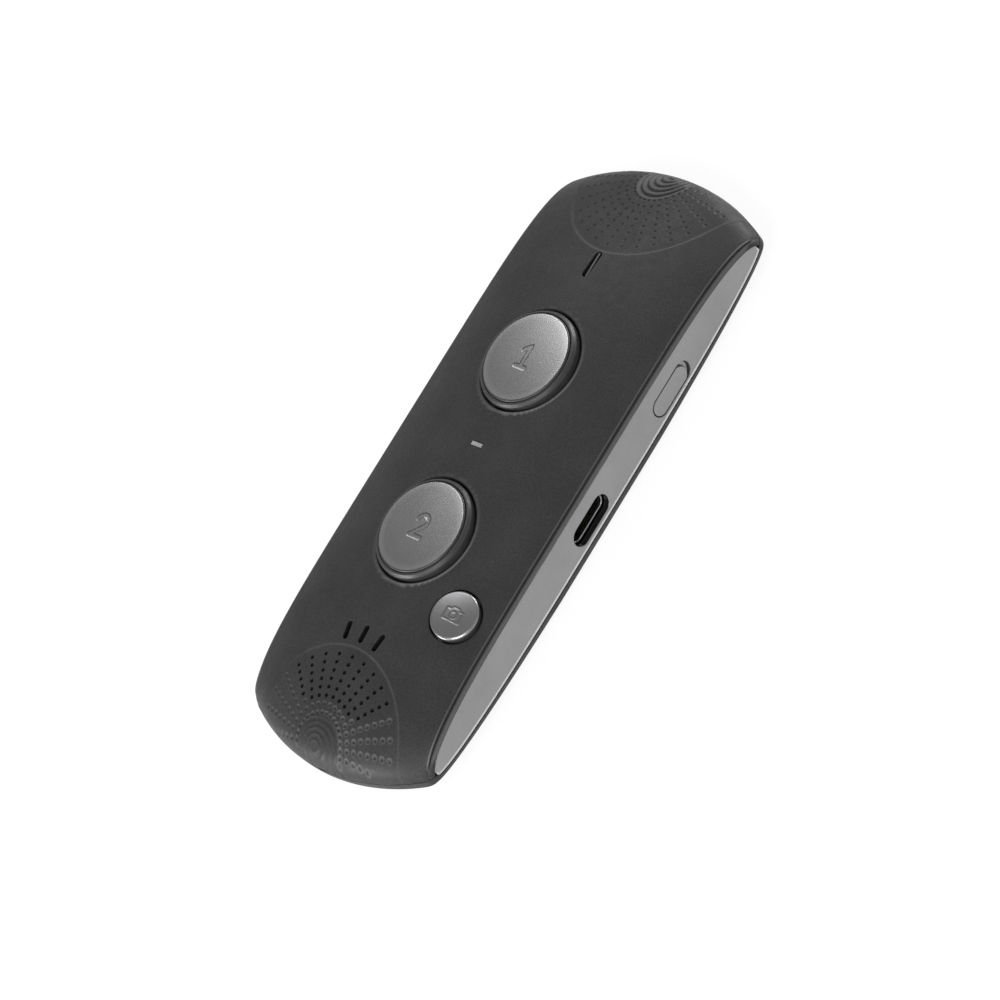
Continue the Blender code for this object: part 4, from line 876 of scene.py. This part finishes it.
def add_front_cover():
    outer, columns, rows = front_skin()
    part = shell(outer, front_inner, columns, rows, FRONT_INNER_STEP)
    piece = make("dressed_front_cover", part, [graphite])
    bosses = []
    for x, y in BOSS_PLACES:
        top = float(crown_at(abs(x) + BOSS_R, abs(y) + BOSS_R)) - BOSS_SKIN
        bosses.append(post(BOSS_R, BOARD_TOP, top, BOSS_SIDES, x, y))
    cut(piece, grow(bosses), "UNION")
    depth = WALL + CUTTER_OVERRUN
    tools = []
    for y in (-BUTTON_Y, BUTTON_Y):
        well = on_crown(lambda offset: circle(WELL_R + offset, 0.0, WELL_SIDES, 0.0, y)[:, :2])
        tools.append(lipped(well, WELL_LIP, WALL + WELL_OVERRUN))
    tools.append(lipped(camera_ring_at, CAMERA_WELL_LIP, depth))
    for k in (-1, 0, 1):
        x, y = SOUND_ORBIT * math.sin(k * SPOKE), SOUND_ORBIT * math.cos(k * SPOKE) - GRILLE_Y
        tools.append(lipped(on_crown(turned_slot(SOUND_SLOT, x, y, -k * SPOKE)), SLOT_LIP, depth))
    tools.append(lipped(on_crown(turned_slot(UPPER_SLOT, 0.0, SLOT_Y, 0.0)), SLOT_LIP, depth))
    tools.append(lipped(on_crown(light_outline), SLOT_LIP, depth))
    for k in range(-DRILL_SPOKES, DRILL_SPOKES + 1):
        for row in range(DRILL_ROWS - 1 if abs(k) == DRILL_SPOKES else DRILL_ROWS):
            radius = GRILLE_OUTER - row * GRILLE_STEP
            x, y = radius * math.sin(k * SPOKE), radius * math.cos(k * SPOKE) - GRILLE_Y
            height = float(crown_at(x, y))
            tools.append(post(HOLE_R, height - WALL - HOLE_OVERRUN, height + OPENING_TOP, HOLE_SIDES, x, y))
    radius, below, above = PILOT
    tools += [
        post(radius, BOARD_TOP - below, BOARD_TOP + above, BOSS_SIDES, x, y) for x, y in BOSS_PLACES]
    tools.append(loft([[(i * NOTCH_HALF[0], j * NOTCH_HALF[1] - HALF_Y, z) for i, j in CORNERS]
                       for z in NOTCH_LEVELS]))
    cut(piece, grow(tools))
    # Painted highlights and painted shade on the cover
    paint(piece, "painted_highlight", front_highlights)
    paint(piece, "painted_shade", front_painted_shade)
    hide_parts("front_cover")
    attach(piece, "device")


# Rear cover, whose grid is laid out as the front's
REAR_COLUMN_STEP = 0.8
ROUNDING_STEP = 6
REAR_END = [
    0.0, 0.0007, 0.0016, 0.003, 0.005, 0.0075, 0.0105, 0.014, 0.018, 0.0225, 0.0275, 0.033, 0.039]
REAR_DETAIL = (0.0455, 0.4, 0.009)
REAR_MIDDLE = (0.4, 1.0, 0.03)
REAR_INNER_STEP = 5


def rear_skin(column, share, inset=0.0):
    x = column * (HALF_X - inset)
    y = share * end_reach(x, inset)
    edge = panel_bottom(share * SIDE_REACH) - RIM_GAP
    base = belly(share, inset)
    inward = np.minimum((HALF_X - inset - np.abs(x)) / REAR_ROUNDING, 1.0)
    climb = 1 - np.sqrt(np.maximum(1 - (1 - inward) ** 2, 0.0))
    z = base + (edge - base) * climb
    rim = (np.abs(share) >= 1.0) | (np.abs(column) >= 1.0)
    border = panel_bottom(share * end_reach(column * HALF_X)) - RIM_GAP
    z = np.where(rim, border, np.minimum(z, border - LAND))
    return stack(x.ravel(), y.ravel(), z.ravel())


rear_surface = [float(belly((REAR_CAMERA_Y + side * BEZEL_R) / HALF_Y)) for side in (-1, 1)]
rear_tilt = math.atan2(rear_surface[1] - rear_surface[0], 2 * BEZEL_R)
rear_frame = (Matrix.Translation((0.0, REAR_CAMERA_Y, sum(rear_surface) / 2))
              @ Matrix.Rotation(rear_tilt, 4, "X"))


def add_rear_cover():
    half = even(0.0, HALF_X - REAR_ROUNDING, REAR_COLUMN_STEP)
    half += [HALF_X - REAR_ROUNDING * math.cos(math.radians(a)) for a in range(0, 90, ROUNDING_STEP)]
    columns = mirrored(half + [HALF_X])
    rows = rows_from(REAR_END, REAR_DETAIL, REAR_MIDDLE)
    outer = rear_skin(*np.meshgrid(columns / HALF_X, rows))
    part = shell(outer, lambda c, s: rear_skin(c, s, WALL), columns, rows, REAR_INNER_STEP)
    piece = make("dressed_rear_cover", part, [graphite])
    cut(piece, post(*BEZEL_HOLE, 0.0, REAR_CAMERA_Y))
    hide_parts("rear_cover")
    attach(piece, "device")


# Side panels and the SIM cover
def panel_part(side):
    rings = []
    for k in range(-STATIONS, STATIONS + 1):
        y = math.sin(math.pi / 2 * k / STATIONS) * (PANEL_REACH - PANEL_TIP / 2)
        outer = float(side_x(y))
        inner = outer - PANEL_DEPTH
        low = float(panel_bottom(y)) + GAP / 2
        high = float(panel_top(y)) - GAP / 2
        share = min(1.0, (high - low) / FULL_HEIGHT)
        soft = PANEL_EDGE * share
        foot = PANEL_FOOT * share
        face = outer - PANEL_BEAD
        middle = (low + foot + high) / 2
        ring = [(inner, low), (inner, high)]
        for degrees in (90, 60, 30, 0):
            turn = math.radians(degrees)
            ring.append((face - soft + soft * math.cos(turn), high - soft + soft * math.sin(turn)))
        ring += [(face, middle + UPPER_ROW * (high - low)), (face, middle)]
        ring += [(face, low + foot + rise * share) for rise in FOOT_ROWS]
        ring += [(outer - inward, low + up * foot) for inward, up in BEAD_PROFILE]
        rings.append([(side * px, y, pz) for px, pz in ring])
    return loft(rings)


def panel_highlight(x, y, z):
    """A painted highlight along the bead at the lower edge."""
    rise = z - panel_bottom(y) - GAP / 2
    return (rise < BEAD_HIGHLIGHT_RISE) * (np.abs(x) > side_x(y) - BEAD_HIGHLIGHT_DEPTH)


def side_ring(depth, y, outline):
    """An outline in a plane that faces sideways, round the seam's height."""
    return stack(np.full(len(outline), depth), y + outline[:, 0], SEAM_Z + outline[:, 1])


def side_hole(length, height, y, soft):
    """A slot cut in from the right, with a chamfer at the face."""
    wide = 1.5 * soft
    rings = []
    for depth, spread in ((HALF_X - PANEL_DEPTH - CUTTER_OVERRUN, 0.0), (PANEL_FACE_X - soft, 0.0),
                          (PANEL_FACE_X + 0.5 * soft, wide), (HALF_X + OPENING_TOP, wide)):
        rings.append(side_ring(depth, y, obround(length + 2 * spread, height + 2 * spread, OPENING_SIDES)))
    return loft(rings)


def pin_hole(reach):
    return post(PIN_HOLE_R, SEAM_Z - reach, SEAM_Z + reach, PIN_HOLE_SIDES, HINGE_X, HINGE_Y)


def shade_port_walls(piece):
    """Gives the walls of the port's opening a last material of their own, gloss black, as painted shade."""
    piece.data.materials.append(gloss_black)
    half_length, half_height = PORT_WALLS
    for face in piece.data.polygons:
        spot = face.center / MM
        in_port = abs(spot.y - PORT_Y) < half_length and abs(spot.z - SEAM_Z) < half_height
        if in_port and abs(face.normal.x) < 0.5:
            face.material_index = len(piece.data.materials) - 1


def add_panels():
    for side, name in ((1, "side_panel_right"), (-1, "side_panel_left")):
        piece = make("dressed_" + name, panel_part(side), [silver])
        if side > 0:
            cut(piece, grow([side_hole(*PORT_OPENING, PORT_Y, PORT_EDGE),
                             side_hole(SIM_LENGTH, SIM_HEIGHT, SIM_MIDDLE, SIM_EDGE)]))
            below = (SEAM_Z - SIM_HEIGHT / 2 - PANEL_BOTTOM_Z) / 2
            cut(piece, pin_hole(SIM_HEIGHT / 2 + below + PIN_OVERRUN))
            shade_port_walls(piece)
        paint(piece, "painted_highlight", panel_highlight)
        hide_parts(name)
        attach(piece, "device")


def clipped(part, lowest_y):
    """The part of a solid above a level along Y."""
    tool = make("clipped", part, [], sharp=None)
    ends = [[(x, y, z) for x, z in ((10.0, -10.0), (30.0, -10.0), (30.0, 20.0), (10.0, 20.0))]
            for y in (lowest_y, lowest_y + 20.0)]
    cut(tool, loft(ends), "INTERSECT")
    points = np.array([v.co for v in tool.data.vertices]) / MM
    faces = [tuple(face.vertices) for face in tool.data.polygons]
    bpy.data.objects.remove(tool, do_unlink=True)
    return points, faces


def add_sim_cover():
    length, height = SIM_LENGTH - 2 * GAP, SIM_HEIGHT - 2 * GAP
    rings = [side_ring(PANEL_FACE_X + depth, SIM_MIDDLE,
                       obround(length + 2 * spread, height + 2 * spread, OPENING_SIDES))
             for depth, spread in SIM_COVER_PROFILE]
    piece = make("dressed_sim_cover", loft(rings), [silver])
    cut(piece, pin_hole(height))
    end = SIM_MIDDLE + length / 2
    scoop_y = end - height / 2 - SCOOP_FROM_END
    scoop = loft([side_ring(PANEL_FACE_X + depth, scoop_y, circle(radius, 0.0, SCOOP_SIDES))
                  for depth, radius in SCOOP_PROFILE], closed=True)
    cut(piece, clipped(scoop, end - SCOOP_LENGTH))
    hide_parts("sim_cover")
    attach(piece, "sim_cover")


# Buttons, whose signs are strokes in millimetres round their middle
def from_strokes(x, y, lines):
    """Distance of points from the strokes of a sign."""
    nearest = np.full(np.shape(x), 99.0)
    for line in lines:
        for (ax, ay), (bx, by) in zip(line, line[1:]):
            dx, dy = bx - ax, by - ay
            share = np.clip(((x - ax) * dx + (y - ay) * dy) / (dx * dx + dy * dy), 0.0, 1.0)
            nearest = np.minimum(nearest, np.hypot(x - ax - share * dx, y - ay - share * dy))
    return nearest


def arc(cx, cy, radius, start, stop, count=14):
    return [(cx + radius * math.cos(math.radians(a)), cy + radius * math.sin(math.radians(a)))
            for a in np.linspace(start, stop, count)]


SIGN_ONE = [[(-0.95, 0.95), (0.25, 1.85), (0.25, -1.9)], [(-0.85, -1.9), (1.35, -1.9)]]
SIGN_TWO = [arc(0.0, 0.75, 1.12, 170, -35, 20) + [(-1.15, -1.9), (1.3, -1.9)]]
SIGN_CAMERA = [
    [(-1.55, -1.05), (1.55, -1.05), (1.55, 0.75), (0.85, 0.75), (0.55, 1.15), (-0.55, 1.15), (-0.85, 0.75),
     (-1.55, 0.75), (-1.55, -1.05)],
    arc(0.0, -0.15, 0.58, 0, 360, 25)]


def disc_rings(radius, edge, height, sign, stroke, sides, spacing):
    """Rings from the rim of a disc to its middle, with a debossed sign."""
    rings = []
    for r in reversed(even(CENTRE_RING, radius - edge, spacing) + [radius - edge]):
        ring = circle(r, 0.0, sides)
        near = from_strokes(ring[:, 0], ring[:, 1], sign)
        ring[:, 2] = height(r) - SIGN_DEPTH * (1 - step(near, stroke - SIGN_EDGE, stroke + SIGN_EDGE))
        rings.append(ring)
    return rings


def soft_edge(radius, edge, top, degrees, sides):
    """Rings round a disc's soft edge, at the given angles."""
    turns = [math.radians(d) for d in degrees]
    return [circle(radius - edge + edge * math.cos(turn), top - edge + edge * math.sin(turn), sides)
            for turn in turns]


def add_talk_face(prefix, y, sign):
    rings = [circle(FACE_R, -FACE_THICKNESS, FACE_SIDES), circle(FACE_R, -FACE_EDGE, FACE_SIDES)]
    rings += soft_edge(FACE_R, FACE_EDGE, 0.0, (25, 50, 75), FACE_SIDES)
    rings += disc_rings(
        FACE_R, FACE_EDGE, lambda r: FACE_DOME * (1 - (r / FACE_R) ** 2), sign, TALK_STROKE, FACE_SIDES,
        FACE_RING_STEP)
    points, faces = loft(rings)
    piece = make("dressed_" + prefix + "_button_face", (points + (0.0, y, FACE_Z), faces), [button_silver])
    # A painted highlight lightens the band inside the rim, and painted shade darkens the edges of the sign's
    # strokes
    highlight, far, near = FACE_HIGHLIGHT
    paint(piece, "painted_highlight", lambda px, py, pz: highlight * step(np.hypot(px, py - y), FACE_R - far, FACE_R - near))
    paint(piece, "painted_shade", lambda px, py, pz: hump(from_strokes(px, py - y, sign) - TALK_STROKE, TALK_LINE))
    # The disc's outer edge takes the collar's dark grey, as painted shade that dims its glints
    piece.data.materials.append(collar_grey)
    for face in piece.data.polygons:
        spot = face.center / MM
        if math.hypot(spot.x, spot.y - y) > FACE_R - FACE_RIM and spot.z > FACE_Z - WALL_DEPTH:
            face.material_index = 1
    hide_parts(prefix + "_button_face")
    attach(piece, prefix + "_button")


def add_collar(prefix, y):
    flange_r, thick, gap = COLLAR_FLANGE
    share = BUTTON_Y / end_reach(flange_r, WALL)
    flange_top = float(crown(flange_r, share, WALL)) - gap - FACE_Z
    flange_base = flange_top - thick
    floor_top = -FACE_THICKNESS - COLLAR_GAP
    floor_low = floor_top - COLLAR_FLOOR
    stem_low = SWITCH_TOP + PLUNGER_ROOM - FACE_Z
    bore = FACE_R + COLLAR_GAP
    profile = [
        (STEM_R, floor_top), (bore, floor_top), (bore, -LIP_DROP), (COLLAR_R - SLOPE_WIDTH, -LIP_DROP),
        (COLLAR_R, -SLOPE_FOOT), (COLLAR_R, flange_top), (flange_r, flange_top), (flange_r, flange_base),
        (SKIRT_R, flange_base), (SKIRT_R, floor_low), (STEM_R, floor_low), (STEM_R, stem_low)]
    for corner, radius in COLLAR_ROUNDS:
        profile = rounded(profile, corner, radius)
    points, faces = lathe(profile, COLLAR_SIDES)
    piece = make("dressed_" + prefix + "_button_collar", (points + (0.0, y, FACE_Z), faces), [collar_grey],
                 sharp=COLLAR_SHARP)
    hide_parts(prefix + "_button_collar")
    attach(piece, prefix + "_button")


def add_camera_button():
    def dome(r):
        return CAMERA_PROUD + CAMERA_DOME * (1 - (r / CAMERA_R) ** 2)

    drop = camera_height - SWITCH_TOP - PLUNGER_ROOM
    stem_low = -drop / math.cos(camera_tilt)
    flange_r, thick, gap = CAMERA_FLANGE
    flange_top = -WALL - gap
    flange_base = flange_top - thick
    profile = [(CAMERA_STEM_R, stem_low), (CAMERA_STEM_R, flange_base), (flange_r, flange_base),
               (flange_r, flange_top), (CAMERA_R, flange_top), (CAMERA_R, CAMERA_PROUD - CAMERA_EDGE)]
    rings = [circle(radius, z, CAMERA_SIDES) for radius, z in profile]
    rings += soft_edge(CAMERA_R, CAMERA_EDGE, CAMERA_PROUD, (18, 36, 54, 72), CAMERA_SIDES)
    rings += disc_rings(
        CAMERA_R, CAMERA_EDGE, dome, SIGN_CAMERA, CAMERA_STROKE, CAMERA_SIDES, CAMERA_RING_STEP)
    piece = make("dressed_camera_button", placed(loft(rings), camera_frame), [cap_silver])
    back = np.array(camera_frame.inverted())

    def own(px, py, pz):
        return (stack(px, py, pz) @ back[:3, :3].T + back[:3, 3]).T

    # A painted highlight round the rim of the dome
    def rim(px, py, pz):
        x, y, z = own(px, py, pz)
        highlight, inward, half = CAMERA_HIGHLIGHT
        return highlight * hump(np.hypot(x, y) - CAMERA_R + inward, half) * (z > 0.0)

    # Painted shade along the edges of the sign's strokes
    def lines(px, py, pz):
        x, y, z = own(px, py, pz)
        near = from_strokes(x, y, SIGN_CAMERA) - CAMERA_STROKE
        return LINE_SHADE * hump(near, CAMERA_LINE) * (z > 0.0)

    paint(piece, "painted_highlight", rim)
    paint(piece, "painted_shade", lines)
    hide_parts("camera_button")
    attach(piece, "camera_button")


# Port, rear camera and the bar in the upper slot
def add_port():
    mouth = HALF_X - PORT_RECESS
    back = mouth - USB_DEPTH
    inner = (USB_LENGTH - 2 * USB_WALL, USB_HEIGHT - 2 * USB_WALL)
    chamfer = 2 * USB_CHAMFER
    levels = [(back, USB_LENGTH, USB_HEIGHT), (mouth - USB_CHAMFER, USB_LENGTH, USB_HEIGHT),
              (mouth, USB_LENGTH - chamfer, USB_HEIGHT - chamfer),
              (mouth, inner[0] + chamfer, inner[1] + chamfer), (mouth - USB_CHAMFER, *inner), (back, *inner)]
    rings = [side_ring(x, PORT_Y, obround(length, height, USB_SIDES)) for x, length, height in levels]
    shell_piece = make("dressed_usb_c_shell", loft(rings, closed=True), [steel])
    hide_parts("usb_c_shell")
    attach(shell_piece, "device")
    pads = []
    for k in range(CONTACTS):
        py = PORT_Y + (k - (CONTACTS - 1) / 2) * CONTACT_PITCH
        for up in (-1, 1):
            (foot, z0), (top, z1) = [(half, SEAM_Z + up * rise) for half, rise in CONTACT]
            pads.append(loft([[
                (mouth - depth, py - foot, z0), (mouth - depth, py + foot, z0),
                (mouth - depth, py + top, z1), (mouth - depth, py - top, z1)] for depth in CONTACT_DEPTHS]))
    contacts = make("usb_c_contacts", grow(pads), [gold])
    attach(contacts, "device")


def add_rear_camera():
    profile = BEZEL_PROFILE
    for corner, radius in BEZEL_ROUNDS:
        profile = rounded(profile, corner, radius)
    part = placed(lathe(profile, BEZEL_SIDES, closed=True), rear_frame)
    bezel = make("dressed_camera_bezel", part, [gloss_black])
    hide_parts("camera_bezel")
    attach(bezel, "device")


def add_slot_bar():
    """Only the bar's top shows; painted shade darkens its flanks."""
    half_x, half_y = BAR_BASE_HALF
    share = (SLOT_Y + half_y) / end_reach(half_x, WALL)
    base_top = float(crown(half_x, share, WALL)) - SEAT_GAP
    top = float(crown_at(BAR_WIDTH / 2, SLOT_Y + BAR_LENGTH / 2)) - BAR_RECESS
    levels = [(2 * half_y, 2 * half_x, base_top - BASE_THICKNESS), (2 * half_y, 2 * half_x, base_top),
              (BAR_LENGTH, BAR_WIDTH, base_top)]
    levels += [(length, width, top - drop) for length, width, drop in BAR_EDGE]
    rings = []
    for length, width, z in levels:
        outline = turned_slot((length, width), 0.0, SLOT_Y, 0.0)(0.0)
        rings.append(stack(outline, np.full(len(outline), z)))
    piece = make("dressed_upper_slot_bar", loft(rings), [slot_grey])
    paint(piece, "painted_shade", lambda x, y, z: 1 - step(z, top - BAR_SHADE[0], top - BAR_SHADE[1]))
    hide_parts("upper_slot_bar")
    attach(piece, "device")


add_front_cover()
add_rear_cover()
add_panels()
add_sim_cover()
add_talk_face("upper", BUTTON_Y, SIGN_ONE)
add_talk_face("lower", -BUTTON_Y, SIGN_TWO)
add_collar("upper", BUTTON_Y)
add_collar("lower", -BUTTON_Y)
add_camera_button()
add_port()
add_rear_camera()

for name, width in SOFT_EDGES:
    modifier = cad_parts[name].modifiers.new("soft_edge", "BEVEL")
    modifier.width = width * MM
    modifier.segments = 2
    modifier.limit_method = "ANGLE"

add_slot_bar()


# Stage, in metres from here on
STAGE_HALF = 3.0
FLOOR_DROP = 0.00005
FLOOR_TONE = (0.90, 0.90, 0.90, 1.0)
FLOOR_GLOW = 1.06
GLOW_SHARE = 0.85
WORLD_LEVEL = 0.25
WHITE = (1.0, 1.0, 1.0, 1.0)

# Ordinary soft lamps: name, place, size and power
LIGHTS = (
    ("key_softbox", (-1.08, 1.104, 1.44), 1.0, 13.3),
    ("front_softbox", (0.36, -0.58, 0.60), 0.45, 5.6),
    ("side_softbox", (0.78, 0.17, 0.42), 0.45, 0.4),
    ("near_end_softbox", (-0.33, -0.74, 0.08), 0.28, 5.5),
    ("far_end_softbox", (-0.08, 0.80, 0.08), 0.28, 4.2),
)

# Camera, fitted to the photo: its place, then its right, up and back axes
CAMERA_PLACE = (0.50813, -0.14027, 0.52486)
CAMERA_AXES = ((0.67741, 0.51476, -0.52549), (-0.26592, 0.83742, 0.47752), (0.68586, -0.18374, 0.70416))


def ray_of(tree, first, second):
    """One for either kind of ray, else nothing."""
    path = add_node(tree, "LightPath", {})
    inputs = {0: path.outputs[first], 1: path.outputs[second]}
    return add_node(tree, "Math", inputs, operation="MAXIMUM").outputs[0]


mesh = bpy.data.meshes.new("studio_floor")
corners = [(x * STAGE_HALF, y * STAGE_HALF, -FLOOR_DROP) for x, y in CORNERS]
mesh.from_pydata(corners, [], [(0, 1, 2, 3)])
floor = add_object("studio_floor", mesh)
white = bpy.data.materials.new("studio_white")
white.use_nodes = True
tree = white.node_tree
tree.nodes.clear()
seen = ray_of(tree, "Is Camera Ray", "Is Glossy Ray")
share = add_node(tree, "Math", {0: seen, 1: GLOW_SHARE}, operation="MULTIPLY")
matt = add_node(tree, "BsdfDiffuse", {"Color": FLOOR_TONE})
glow = add_node(tree, "Emission", {"Color": WHITE, "Strength": FLOOR_GLOW})
mixed = add_node(tree, "MixShader", {0: share.outputs[0], 1: matt.outputs[0], 2: glow.outputs[0]})
add_node(tree, "OutputMaterial", {"Surface": mixed.outputs[0]})
mesh.materials.append(white)

world = bpy.data.worlds.new("studio_world")
bpy.context.scene.world = world
world.use_nodes = True
tree = world.node_tree
seen = ray_of(tree, "Is Camera Ray", "Is Transmission Ray")
level = add_node(tree, "MapRange", {"Value": seen, "To Min": WORLD_LEVEL, "To Max": 1.0})
connect(tree, tree.nodes["Background"].inputs, {"Color": WHITE, "Strength": level.outputs["Result"]})

for name, place, size, power in LIGHTS:
    lamp = bpy.data.lights.new(name, "AREA")
    lamp.size = size
    lamp.energy = power
    stand = add_object(name, lamp)
    stand.location = place
    stand.rotation_euler = (-Vector(place)).to_track_quat("-Z", "Y").to_euler()

camera = bpy.data.cameras.new("photo_camera")
camera.sensor_width = 36.0
camera.lens = 169.5
camera.clip_start = 0.01
stand = add_object("photo_camera", camera)
turn = Matrix(CAMERA_AXES).transposed().to_4x4()
stand.matrix_world = Matrix.Translation(CAMERA_PLACE) @ turn
bpy.context.scene.camera = stand
bpy.context.scene.view_settings.view_transform = "Standard"
